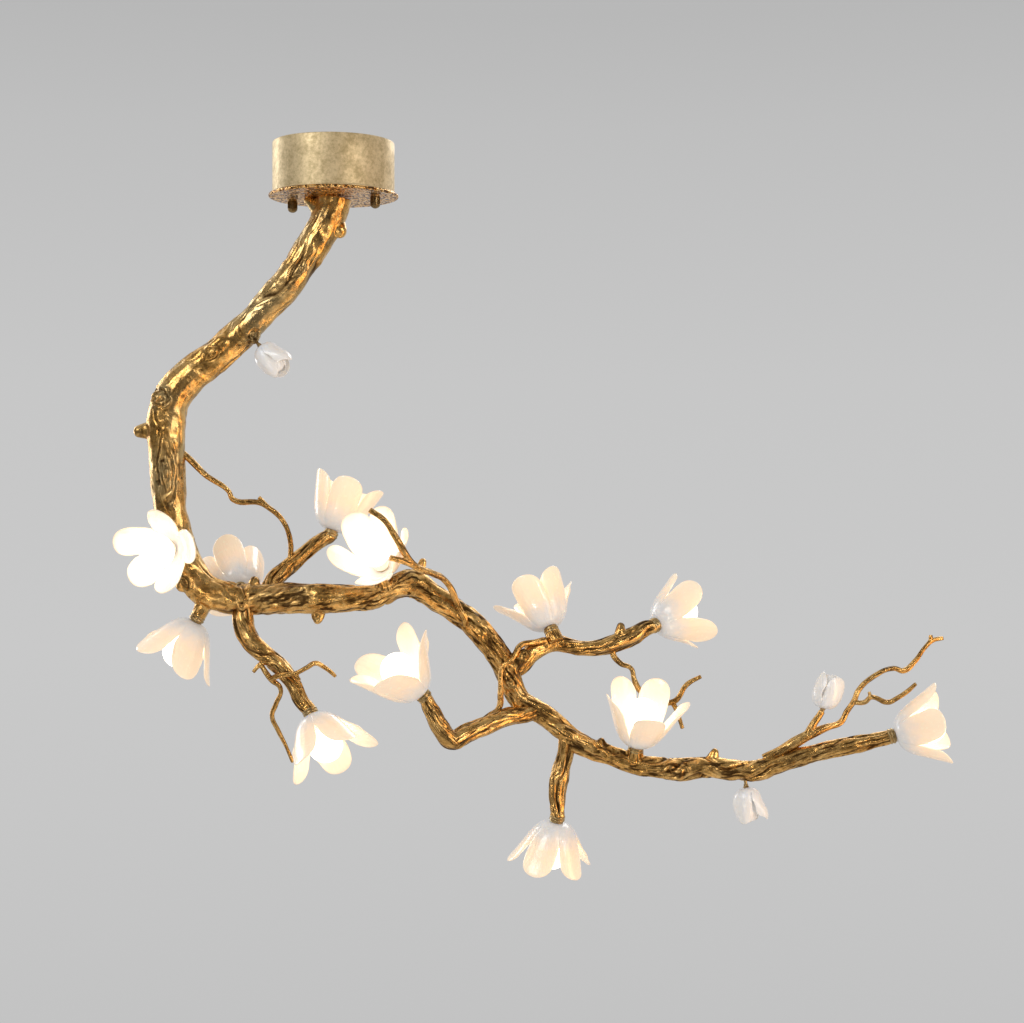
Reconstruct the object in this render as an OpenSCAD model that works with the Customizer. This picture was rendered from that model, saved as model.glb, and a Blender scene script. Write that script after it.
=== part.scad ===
// Branch ceiling light: a cast brass branch with twelve lit porcelain blossoms and three buds.
// The origin is the centre of the canopy at the ceiling, +Z is up and +Y points into the room's depth.

/* [Canopy] */
// Outside diameter of the drum
drum_d = 152; // [150:1:190]
// Height of the drum, from the ceiling to the plate
drum_h = 64; // [56:1:90]
// Sheet thickness of the drum
drum_wall = 1.5; // [0.8:0.1:3]
// How far the plate stands out past the drum
plate_lip = 5; // [2:0.5:12]
// Thickness of the plate under the drum
plate_t = 4; // [3:0.5:8]
// Height of the ring on the plate that centres the drum
spigot_h = 3; // [2:0.5:6]
// Wall of the ring on the plate
spigot_wall = 2; // [1:0.5:4]

/* [Ceiling bracket] */
// How far the strap runs on past each stud
strap_end = 11; // [9:0.5:14]
// Width of the strap
strap_w = 22; // [18:1:30]
// Thickness of the strap
strap_t = 2.5; // [1.5:0.5:4]
// How far the ends of the strap step down from the ceiling
strap_step = 8; // [6:0.5:12]
// Free room between a stud's head and the strap's step
stud_room = 1.5; // [1:0.5:2.5]
// Distance between the two screw holes in the ceiling
screw_spacing = 60; // [56:1:64]
// Diameter of the holes for the ceiling screws
screw_hole_d = 5.5; // [4:0.5:6.5]
// Length of the terminal block along the strap
block_l = 30; // [24:1:34]
// Width of the terminal block
block_w = 17; // [14:1:20]
// Height of the terminal block
block_h = 15; // [12:1:20]
// Number of poles in the terminal block
block_poles = 3; // [2:1:3]

/* [Fixings] */
// How far the studs stand in from the outside of the drum
stud_inset = 20; // [18:0.5:23]
// Turn of the stud line, seen from above
stud_angle = -18; // [-45:1:45]
// Thread diameter of the studs
stud_d = 4; // [3:0.5:5]
// Diameter of the knurled cap nuts
cap_nut_d = 12.5; // [10:0.5:16]
// Height of the straight part of a cap nut
cap_nut_h = 11; // [9:0.5:16]
// Height of the dome of a cap nut
cap_dome_h = 4; // [2:0.5:6]
// Length of stud inside a cap nut
stud_grip = 8; // [5:0.5:8]
// Thickness of the washers under the plate
washer_t = 1; // [0.5:0.1:2]
// Outside diameter of the canopy nipple
nipple_d = 16; // [12:1:18]
// Wire way through the canopy nipple
nipple_bore = 10; // [6:1:10]
// Length of the canopy nipple above the plate
nipple_top = 13; // [12:1:18]
// Length of the canopy nipple in the trunk
nipple_root = 16; // [10:1:22]

/* [Branch] */
// Distance across the branch, from the outside of its left bend to the end of the right twig
branch_span = 1000; // [960:5:1120]
// How far the lowest blossom's seat hangs below the plate
branch_drop = 781; // [750:5:880]
// Thickness of the branch at the bend
bend_d = 50; // [44:1:54]
// Depth of the gnarled ridges, as a part of the branch's radius
bark_depth = 0.07; // [0:0.01:0.12]
// Radius of a branch end where a blossom sits
seat_r = 8.8; // [8:0.1:9.2]
// Depth of the threaded socket in a branch end
socket_depth = 9; // [6:0.5:10]
// Length of the short side branches under the blossoms on the bough
spur_l = 38; // [34:1:42]
// Radius of such a side branch at its root
spur_root_r = 12; // [10:0.5:14]

/* [Blossoms] */
// Height of a blossom from its base to its tips
blossom_h = 65; // [58:1:72]
// Radius at the petal tips
mouth_r = 54; // [48:1:58]
// Radius of the flat base of a blossom
base_r = 9.5; // [9.5:0.1:12]
// Thickness of the porcelain in the cup
porcelain_t = 2.6; // [2:0.1:3.4]
// Thickness of the porcelain at the petal tips
tip_t = 1.7; // [1.2:0.1:2.4]
// Thickness of the floor of the cup
floor_t = 3; // [2.5:0.1:4]
// Width of a petal
petal_w = 41; // [34:0.5:42]
// How much the petal edges curl in
petal_curl = 0.06; // [0:0.01:0.12]
// How far one edge of each petal stands in front of the other
petal_lap = 1.2; // [0:0.1:2]

/* [Lamps] */
// Diameter of the frosted globe
globe_d = 42; // [36:1:44]
// Diameter of the lamp's base
lamp_base_d = 16; // [14:0.5:18]
// Height of the lamp's base
lamp_base_h = 4.5; // [3:0.5:6]
// Diameter of the lampholder
holder_d = 20; // [18:0.5:21]
// Height of the lampholder
holder_h = 12; // [11.5:0.5:14]
// Distance between the two pins
pin_spacing = 9; // [8:0.5:10]
// Diameter of a pin
pin_d = 1.6; // [1:0.1:2]
// Length of a pin
pin_l = 7; // [5:0.5:7.5]
// Diameter of the threaded nipple that holds a blossom
tube_d = 9.7; // [8:0.1:10]
// Wire way through that nipple
tube_bore = 6; // [4:0.5:7]
// Thickness of the ring that clamps the porcelain
ring_t = 2.5; // [2:0.5:4]
// Diameter of that ring
ring_d = 19; // [17:0.5:20]

/* [Buds] */
// Length of a closed bud
bud_l = 45; // [36:1:52]
// Largest radius of a bud
bud_r = 18; // [14:0.5:20]
// Depth of the grooves between the closed petals, as a part of the radius
bud_groove = 0.1; // [0:0.01:0.15]
// Diameter of the brass pin that holds a bud
bud_pin_d = 4; // [3:0.5:5]

/* [Hidden] */
$fn = 48;

// Clearances: a turning or sliding fit, a hand-fitted gap, and a cast socket
run_gap = 0.05;
hand_gap = 0.3;
cast_gap = 0.2;

stud_spacing = drum_d - 2*stud_inset;
strap_l = stud_spacing + 2*strap_end;
plate_r = drum_d/2 + plate_lip;
plate_top = -drum_h;
plate_low = plate_top - plate_t;
nut_top = plate_low - washer_t;

// Hexagon sizes across flats, from the thread they turn on
stud_hex = stud_d*1.75;
stud_hex_t = stud_d*0.8;
nipple_hex = nipple_d*1.5;
nipple_hex_t = nipple_d/2;
nipple_washer_d = nipple_d*2;
nipple_washer_t = 2;
stud_head_t = 3;
earth_head_d = 7;
earth_head_t = 2.4;
earth_x = block_l/2 + earth_head_d/2 + 1.5;
strap_ramp = 5;
strap_flat = stud_spacing - 2*(stud_hex/2/cos(30) + stud_room + strap_ramp);
pole_screw_d = 3.2;
pole_wire_d = 3.6;

// The tables below are drawn at these sizes, and spread to the branch's own
DRAWN_SPAN = 1000;
DRAWN_DROP = 781;
DRAWN_BEND = 50;
across = branch_span/DRAWN_SPAN;
down = branch_drop/DRAWN_DROP;
thick = bend_d/DRAWN_BEND;
function spread(p) = [p[0]*across, p[1]*across, p[2]*down];
function spread_route(stations) = [for (p = stations) concat(spread(p), [p[3]*thick])];
function spread_forks(list) = [for (stations = list) spread_route(stations)];
function spread_knots(list) = [for (k = list) [spread(k[0]), spread(k[1]), k[2]*thick, k[3]*thick]];

// Each blossom: where its base sits below the plate, the way it faces, its turn, how far it opens
BLOSSOM_SEATS = [
  [[-199, -30, -437], [-0.22, -0.97, -0.10], 28, 0],
  [[-122, 34, -489], [-0.28, 0.92, 0.27], 20, 0],
  [[-173, 0, -530], [-0.47, -0.02, -0.88], 68, 2],
  [[-7, 52, -416], [0.31, 0.20, 0.93], 29, -8],
  [[63, -32, -460], [-0.21, -0.82, 0.53], 11, 2],
  [[113, -84, -611], [-0.65, -0.30, 0.70], 60, 4],
  [[-22, -46, -643], [0.43, -0.39, -0.81], 48, 4],
  [[271, 22, -538], [-0.36, 0.42, 0.83], 48, -2],
  [[409, 58, -536], [0.78, 0.50, 0.34], 12, -2],
  [[378, -12, -682], [0.16, -0.34, 0.93], 56, 0],
  [[279, 8, -781], [-0.15, 0.20, -0.97], 60, 0],
  [[699, -20, -669], [0.95, -0.14, 0.28], 49, -2]
];

// Each bud: its base, the way it points, and how far its pin reaches back into the branch
BUD_SEATS = [
  [[-90, -8, -187], [0.65, -0.15, -0.74], 22],
  [[609, -16, -636], [0.25, -0.05, 0.97], 10],
  [[514, -14, -735], [0.10, -0.10, -0.99], 18]
];
BLOSSOMS = [for (b = BLOSSOM_SEATS) [spread(b[0]), b[1], b[2], b[3]]];
BUDS = [for (b = BUD_SEATS) [spread(b[0]), b[1], b[2]]];

// Branch routes below the plate: x, y, z and the radius there
MAIN_ROUTE = spread_route([
  [0, 0, 0, 24], [-2, 0, -12, 22.5], [-11, 0, -33, 21], [-22, 0, -53, 21], [-37, 0, -76, 21],
  [-54, 0, -103, 21], [-79, 2, -130, 20], [-103, 4, -156, 19.5], [-137, 4, -188, 20.5],
  [-160, 4, -206, 21.5], [-181, 2, -224, 22.5], [-202, 0, -251, 24], [-208, 0, -276, 25],
  [-208, 0, -321, 23], [-205, 0, -378, 21], [-200, 0, -409, 20.5], [-192, 0, -438, 20.5],
  [-179, 0, -468, 21], [-161, 0, -490, 20.5], [-132, 0, -500, 20], [-104, 0, -502, 19.5],
  [-54, -2, -501, 19.5], [-17, -4, -500, 19], [14, -6, -500, 17.5], [52, -6, -498, 15],
  [80, -4, -485, 16], [98, -2, -482, 18], [122, 0, -497, 15], [148, 0, -512, 15.5],
  [170, 0, -528, 15.5], [190, -1, -550, 16], [204, -2, -568, 15.5], [218, -2, -596, 14.5],
  [233, -2, -627, 13], [258, 0, -643, 12.5], [278, 0, -658, 12.5], [303, 0, -679, 13.5],
  [324, 0, -690, 12.5], [349, -2, -698, 11.5], [378, -4, -708, 12], [405, -6, -711, 12],
  [432, -8, -714, 14], [460, -10, -710, 12.5], [520, -14, -714, 12.5], [552, -16, -706, 12],
  [583, -17, -696, 11.5], [614, -18, -688, 11], [645, -19, -682, 10.5]
]);
// The route's point where the trunk's casting ends and the bough's begins
MAIN_SPLIT = 19;

DROOPING_ROUTE = spread_route([
  [-111, -4, -506, 12], [-111, -12, -530, 13.5], [-102, -18, -552, 12.5], [-84, -24, -568, 11],
  [-64, -30, -583, 10.5], [-47, -36, -603, 10], [-36, -41, -625, 9.8]
]);
BACK_ROUTE = spread_route([
  [-82, 0, -500, 12], [-79, 12, -481, 11], [-59, 25, -462, 10], [-36, 38, -441, 9.5],
  [-16, 48, -426, 9.2]
]);
LEFT_ROUTE = spread_route([
  [252, 0, -641, 10], [243, -8, -644, 10], [218, -25, -646, 11], [193, -42, -654, 11],
  [169, -56, -662, 11], [150, -66, -670, 12], [136, -74, -653, 11], [124, -79, -629, 10]
]);
RIGHT_ROUTE = spread_route([
  [214, 0, -588, 11], [230, 6, -588, 11], [249, 14, -569, 12], [277, 22, -559, 10],
  [309, 28, -565, 9.5], [331, 34, -565, 10], [354, 40, -559, 11], [376, 46, -551, 11.5],
  [394, 53, -541, 9.5]
]);
LOWER_ROUTE = spread_route([
  [293, 0, -676, 11], [290, 4, -692, 10.5], [285, 8, -713, 11], [282, 8, -728, 13],
  [280, 8, -746, 10.5], [280, 8, -769, 8.5]
]);
FRONT_SPUR_ROUTE = spread_route([[66, 0, -488, 14], [65, -14, -477, 11]]);

// Bare twigs, each with its forks
TRUNK_TWIG = spread_forks([
  [
    [-196, 0, -314, 5], [-183, 2, -324, 4.5], [-161, 5, -346, 3.8], [-133, 9, -366, 3.5],
    [-127, 11, -377, 3.5], [-94, 14, -381, 3.2], [-82, 16, -388, 3.2], [-67, 20, -402, 3.2],
    [-57, 24, -427, 3.2], [-57, 26, -448, 3.5], [-60, 24, -462, 4]
  ],
  [[-84, 16, -387, 3], [-95, 13, -374, 2.2]]
]);
FRONT_FORK = spread_forks([
  [
    [165, -10, -533, 4.5], [164, -17, -524, 4], [157, -22, -510, 4], [148, -30, -488, 4],
    [139, -42, -475, 4], [126, -66, -467, 4.2], [105, -98, -456, 4.5], [83, -118, -420, 4],
    [71, -120, -402, 3.8], [54, -122, -390, 3.4]
  ],
  [[112, -88, -461, 4], [92, -112, -451, 4], [78, -120, -447, 3.4]]
]);
VINE_TWIG = spread_forks([
  [
    [266, 12, -554, 4], [250, 4, -556, 3.5], [234, -6, -559, 3.5], [223, -15, -575, 3.5],
    [212, -19, -584, 3.5], [209, -19, -615, 3.5], [207, -22, -635, 3.5], [194, -36, -644, 3.5],
    [182, -46, -652, 3.5]
  ]
]);
HANGING_TWIG = spread_forks([
  [[-78, -30, -575, 3.5], [-88, -34, -581, 3.2], [-96, -36, -590, 2.4]],
  [
    [-87, -34, -580, 3], [-74, -38, -598, 3.2], [-62, -36, -610, 3.2], [-68, -30, -629, 3],
    [-74, -24, -645, 3], [-67, -18, -664, 3], [-58, -12, -684, 2.8], [-50, -8, -704, 2.2]
  ],
  [
    [-74, -39, -598, 3], [-62, -48, -593, 3], [-42, -52, -590, 3], [-28, -50, -583, 2.8],
    [-18, -46, -578, 2.8], [-8, -42, -583, 2.6], [0, -40, -589, 2.4], [6, -38, -595, 2]
  ],
  [[-42, -52, -590, 2.6], [-36, -54, -598, 2]]
]);
BACK_TWIG = spread_forks([
  [
    [356, 38, -561, 4], [351, 38, -571, 3.6], [361, 37, -585, 3.5], [374, 36, -591, 3.5],
    [378, 35, -605, 3.5], [386, 34, -620, 3.5], [405, 34, -631, 3.5], [428, 34, -633, 3.5],
    [445, 34, -611, 3.2], [463, 34, -601, 2.6]
  ],
  [[426, 34, -633, 3.2], [432, 34, -645, 3], [439, 33, -667, 2.4]]
]);
TIP_TWIG = spread_forks([
  [[590, -17, -670, 6], [597, -17, -656, 4.4], [605, -16, -645, 3.8], [608, -16, -640, 3.6]],
  [
    [536, -16, -700, 7], [556, -16, -690, 7], [575, -17, -678, 7], [592, -17, -669, 6.5],
    [615, -15, -660, 4.4], [632, -12, -654, 3.8], [640, -10, -641, 3.8],
    [649, -8, -628, 3.8], [655, -6, -615, 3.6], [674, -4, -598, 3.5], [700, 0, -588, 3.5],
    [713, 2, -591, 3.3], [728, 4, -579, 3.2], [740, 6, -563, 3], [750, 8, -554, 2.8],
    [764, 10, -551, 2.2]
  ],
  [
    [648, -8, -630, 3.2], [662, -12, -629, 3.2], [669, -13, -623, 3], [690, -14, -629, 3],
    [703, -14, -623, 2.8], [715, -14, -615, 2.6], [725, -14, -606, 2]
  ],
  [[669, -13, -624, 2.6], [667, -12, -616, 2]],
  [[748, 8, -556, 2.6], [748, 7, -547, 2]]
]);

// Knots and pruned stubs: two centres and the radius at each
TRUNK_KNOTS = spread_knots([
  [[-214, 0, -289], [-243, 0, -292], 15, 8],
  [[-211, -14, -252], [-217, -20, -250], 9, 7],
  [[-208, -8, -336], [-209, -15, -352], 13, 9],
  [[4, 0, -36], [8, -4, -42], 12, 9],
  [[-100, -4, -172], [-98, -8, -177], 10, 7],
  [[-181, 0, -478], [-188, -4, -484], 13, 9],
  [[-137, -8, -182], [-152, -10, -196], 12, 10],
  [[-40, 12, -84], [-58, 13, -104], 11, 9],
  [[-10, 0, -20], [-27, -2, -8], 13, 7.5]
]);
BOUGH_KNOTS = spread_knots([
  [[-19, -4, -514], [-19, -6, -526], 9, 6],
  [[-112, -10, -508], [-112, -18, -511], 10, 7],
  [[106, -2, -472], [112, -4, -455], 8, 5.5],
  [[333, -2, -686], [334, -4, -679], 8, 6],
  [[472, -10, -702], [475, -11, -692], 8, 5],
  [[423, -10, -713], [430, -14, -716], 12, 10],
  [[-101, 4, -490], [-99, 6, -480], 9, 6.5],
  [[226, -2, -580], [237, -4, -572], 11, 8],
  [[184, -8, -544], [196, -9, -558], 10, 9]
]);
RIGHT_KNOTS = spread_knots([[[360, 42, -548], [361, 43, -538], 7, 4.5]]);

// Side branches cut short under a blossom: its number, the length's share, how much wider the root is
TRUNK_SPURS = [[0, 0.9, 1], [2, 0.9, 0]];
BOUGH_SPURS = [[1, 1, 0], [9, 0.7, -1]];
RIGHT_SPURS = [[7, 0.6, -2]];
// Straight run behind a blossom, at the end of a limb and of the bough
LIMB_RUN = 7;
BOUGH_RUN = 12;
// How far a bud's hole is cut on past the bud's base
HOLE_RUN = 8;

// Shape of the petals: rows and columns of faces, and the outline's shares
PETALS = 5;
PETAL_COLS = 4;
PETAL_ROWS = 3;
ROUND_COLS = PETALS*PETAL_COLS;
FUSED_SHARE = 0.42;
FLOOR_SHARE = 0.20;
TIP_DIP = 0.39;
// Where the columns run across a petal, from its middle, 0, to its edge, 1
COLUMN_PLACES = [-1, -0.66, 0, 0.66, 1];
// The most of its share of the round that a petal takes
PETAL_FILL = 0.97;

// Shape of the sweeps
BRANCH_SIDES = 11;
LIMB_SIDES = 9;
TWIG_SIDES = 5;

function unit(v) = v/norm(v);
function place(p) = [p[0], p[1], p[2]];

function stretch(path, from, to) = [for (i = [from:to]) path[i]];

// Direction of a path at each of its points, with a set direction at an end where one is given
function headings(path, head, tail) = let (last = len(path) - 1) [
  for (i = [0:last])
    (i == 0 && !is_undef(head)) ? unit(head)
    : (i == last && !is_undef(tail)) ? unit(tail)
    : unit(place(path[min(i+1, last)]) - place(path[max(i-1, 0)]))
];
function bark(angle, row) = 0.55*sin(2*angle + 47*row) + 0.45*sin(3*angle - 31*row + 60);
function ring_of(p, heading, sides, row, depth) =
  let (sideways = unit(cross(heading, [0, 1, 0])), upright = cross(heading, sideways)) [
    for (k = [0:sides-1])
      let (angle = 360*k/sides, r = p[3]*(1 + depth*bark(angle, row)))
        place(p) + r*(cos(angle)*sideways + sin(angle)*upright)
  ];

// Solid tube of changing radius along a path
module sweep(path, sides, head=undef, tail=undef, depth=0, first_row=0) {
  heading = headings(path, head, tail);
  last = len(path) - 1;
  points = [
    for (i = [0:last])
      each ring_of(path[i], heading[i], sides, i + first_row, depth)
  ];
  ends = [
    for (k = [1:sides-2]) each [[0, k, k+1], [last*sides, last*sides + k + 1, last*sides + k]]
  ];
  walls = [
    for (i = [0:last-1], k = [0:sides-1])
      let (a = i*sides + k, b = i*sides + (k+1)%sides)
        each [[a, a + sides, b + sides], [a, b + sides, b]]
  ];
  polyhedron(points = points, faces = concat(ends, walls));
}

module aim(direction) {
  rotate([0, acos(direction[2]/norm(direction)), atan2(direction[1], direction[0])]) children();
}
module at_blossom(i) {
  translate([0, 0, plate_low]) translate(BLOSSOMS[i][0]) aim(BLOSSOMS[i][1]) children();
}
module at_bud(i) {
  translate([0, 0, plate_low]) translate(BUDS[i][0]) aim(BUDS[i][1]) children();
}
module at_studs(side) {
  rotate(stud_angle) translate([side*stud_spacing/2, 0, 0]) children();
}
module ring_solid(outer_d, inner_d, height) {
  difference() {
    cylinder(h = height, d = outer_d);
    translate([0, 0, -1]) cylinder(h = height + 2, d = inner_d);
  }
}
module hex_nut(across_flats, bore_d, height) {
  difference() {
    cylinder(h = height, d = across_flats/cos(30), $fn = 6);
    translate([0, 0, -1]) cylinder(h = height + 2, d = bore_d);
  }
}

// The point of a route that lies back from a blossom's base, on the blossom's own axis
function lead(i, back, r) = concat(BLOSSOMS[i][0] - back*unit(BLOSSOMS[i][1]), [r]);
function limb_path(route, i) = concat(route, [lead(i, LIMB_RUN, seat_r), lead(i, 0, seat_r)]);

module limb_to(route, i) {
  sweep(limb_path(route, i), LIMB_SIDES, tail = BLOSSOMS[i][1], depth = bark_depth);
}
module seat_stub(i, length, root_r) {
  sweep([lead(i, length, root_r), lead(i, length/2, (root_r + seat_r)/2), lead(i, 0, seat_r)],
    LIMB_SIDES, tail = BLOSSOMS[i][1], head = BLOSSOMS[i][1], depth = bark_depth/2);
}
module spurs(list) {
  for (s = list) seat_stub(s[0], s[1]*spur_l, spur_root_r + s[2]);
}
module knots(list) {
  for (k = list) hull() {
    translate(k[0]) sphere(r = k[2], $fn = 7);
    translate(k[1]) sphere(r = k[3], $fn = 6);
  }
}
module sockets(list) {
  for (i = list) at_blossom(i) translate([0, 0, -socket_depth - hand_gap])
    cylinder(h = socket_depth + 2, r = (tube_d/2 + cast_gap)/cos(180/16), $fn = 16);
}
module bud_holes(list) {
  for (i = list) at_bud(i) translate([0, 0, -BUDS[i][2] - hand_gap])
    cylinder(h = BUDS[i][2] + HOLE_RUN, r = (bud_pin_d/2 + cast_gap)/cos(180/12), $fn = 12);
}

// Castings, each in the frame below the plate
split_heading = place(MAIN_ROUTE[MAIN_SPLIT+1]) - place(MAIN_ROUTE[MAIN_SPLIT-1]);

module trunk_form() {
  sweep(stretch(MAIN_ROUTE, 0, MAIN_SPLIT), BRANCH_SIDES, head = [0, 0, -1], tail = split_heading,
    depth = bark_depth);
  knots(TRUNK_KNOTS);
  spurs(TRUNK_SPURS);
}
module bough_form() {
  route = concat(stretch(MAIN_ROUTE, MAIN_SPLIT, len(MAIN_ROUTE) - 1),
    [lead(11, BOUGH_RUN, seat_r), lead(11, 0, seat_r)]);
  sweep(route, BRANCH_SIDES, head = split_heading, tail = BLOSSOMS[11][1],
    depth = bark_depth, first_row = MAIN_SPLIT);
  knots(BOUGH_KNOTS);
  spurs(BOUGH_SPURS);
  limb_to(FRONT_SPUR_ROUTE, 4);
}
module right_limb_form() {
  limb_to(RIGHT_ROUTE, 8);
  spurs(RIGHT_SPURS);
  knots(RIGHT_KNOTS);
}
module twig_form(forks) {
  for (fork = forks) {
    end = fork[len(fork)-1];
    before = fork[len(fork)-2];
    nose = place(end) + end[3]*0.7*unit(place(end) - place(before));
    sweep(concat(fork, [concat(nose, [end[3]*0.45])]), TWIG_SIDES, depth = bark_depth);
  }
}

module trunk() {
  color("#8f7440") difference() {
    translate([0, 0, plate_low]) trunk_form();
    sockets([0, 2]);
    bud_holes([0]);
    translate([0, 0, plate_low - nipple_root - hand_gap])
      cylinder(h = nipple_root + 2, r = (nipple_d/2 + cast_gap)/cos(180/24), $fn = 24);
  }
}
module bough() {
  color("#9a7c42") difference() {
    translate([0, 0, plate_low]) bough_form();
    sockets([1, 4, 9, 11]);
    bud_holes([2]);
  }
}
module drooping_limb() {
  color("#8a6f3c") difference() {
    translate([0, 0, plate_low]) limb_to(DROOPING_ROUTE, 6);
    translate([0, 0, plate_low]) bough_form();
    sockets([6]);
  }
}
module back_limb() {
  color("#84693a") difference() {
    translate([0, 0, plate_low]) limb_to(BACK_ROUTE, 3);
    translate([0, 0, plate_low]) bough_form();
    sockets([3]);
  }
}
module left_limb() {
  color("#8a6f3c") difference() {
    translate([0, 0, plate_low]) limb_to(LEFT_ROUTE, 5);
    translate([0, 0, plate_low]) bough_form();
    sockets([5]);
  }
}
module right_limb() {
  color("#94783f") difference() {
    translate([0, 0, plate_low]) right_limb_form();
    translate([0, 0, plate_low]) bough_form();
    sockets([7, 8]);
  }
}
module lower_limb() {
  color("#8a6f3c") difference() {
    translate([0, 0, plate_low]) limb_to(LOWER_ROUTE, 10);
    translate([0, 0, plate_low]) bough_form();
    sockets([10]);
  }
}
module trunk_twig() {
  color("#7d6437") translate([0, 0, plate_low]) difference() {
    twig_form(TRUNK_TWIG);
    trunk_form();
    limb_to(BACK_ROUTE, 3);
    bough_form();
  }
}
module front_fork() {
  color("#a5874a") translate([0, 0, plate_low]) difference() {
    twig_form(FRONT_FORK);
    bough_form();
  }
}
module vine_twig() {
  color("#a5874a") translate([0, 0, plate_low]) difference() {
    twig_form(VINE_TWIG);
    bough_form();
    right_limb_form();
    limb_to(LEFT_ROUTE, 5);
  }
}
module hanging_twig() {
  color("#7d6437") translate([0, 0, plate_low]) difference() {
    twig_form(HANGING_TWIG);
    limb_to(DROOPING_ROUTE, 6);
    bough_form();
  }
}
module back_twig() {
  color("#7d6437") translate([0, 0, plate_low]) difference() {
    twig_form(BACK_TWIG);
    right_limb_form();
    bough_form();
  }
}
module tip_twig() {
  color("#7d6437") difference() {
    translate([0, 0, plate_low]) twig_form(TIP_TWIG);
    translate([0, 0, plate_low]) bough_form();
    bud_holes([1]);
  }
}

// Cup profile of a blossom: radius and height at a share of the way from the base to a tip
function cup_at(t) =
  let (s = 1 - t) s*s*s*[base_r, 0] + 3*s*s*t*[0.55*mouth_r, 0.02*blossom_h]
    + 3*s*t*t*[0.66*mouth_r, 0.52*blossom_h] + t*t*t*[mouth_r, blossom_h];
function cup_normal(t) =
  let (slope = unit(cup_at(t + 0.01) - cup_at(t - 0.01))) [slope[1], -slope[0]];
function wall_at(t) = porcelain_t + (tip_t - porcelain_t)*max(0, t - FUSED_SHARE)/(1 - FUSED_SHARE);
// How far along and across the petal's outline runs at a row and column
function outline_t(row, col) =
  FUSED_SHARE + (1 - FUSED_SHARE)*row*(1 - TIP_DIP*rounding(col));
function rounding(col) = 1 - sqrt(1 - col*col);
// Half the petal's angle: a full share of the round where it leaves the cup, then by its width
function outline_angle(row, swing) =
  row == 0 ? 180/PETALS
  : asin(min(PETAL_FILL*sin(180/PETALS), petal_w/2/(cup_at(outline_t(row, 1))[0] + swing*row*row)));
function petal_point(inside, petal, row, col, open, shape) =
  let (
    t = outline_t(row, col),
    profile = cup_at(t) - (inside ? wall_at(t) : 0)*cup_normal(t),
    swing = open + 3*sin(97*petal + 131*shape),
    r = (profile[0] + swing*row*row)*(1 - petal_curl*col*col*row) + petal_lap*col*row,
    z = profile[1] - 0.35*swing*row*row,
    angle = 360*petal/PETALS + col*outline_angle(row, swing)
  ) [r*cos(angle), r*sin(angle), z];
function round_row(r, z) = [
  for (k = [0:ROUND_COLS-1]) let (angle = (k - PETAL_COLS/2)*360/ROUND_COLS) [r*cos(angle), r*sin(angle), z]
];
function cup_row(t, inside) =
  let (p = cup_at(t) - (inside ? wall_at(t) : 0)*cup_normal(t)) round_row(p[0], p[1]);

// Number of a point in the mesh of a blossom: side 0 is outside, side 1 is inside
function round_index(row, col) = row*ROUND_COLS + col%ROUND_COLS;
function petal_index(side, row, petal, col) =
  row == 0 ? round_index(side == 0 ? 3 : 7, PETAL_COLS*petal + col)
  : 8*ROUND_COLS + side*PETAL_ROWS*PETALS*(PETAL_COLS + 1)
    + (row - 1)*PETALS*(PETAL_COLS + 1) + petal*(PETAL_COLS + 1) + col;
function quad(a, b, c, d) = [[a, d, c], [a, c, b]];
function band(low, high) = [
  for (k = [0:ROUND_COLS-1])
    each quad(round_index(low, k), round_index(low, k+1), round_index(high, k+1), round_index(high, k))
];

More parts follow.
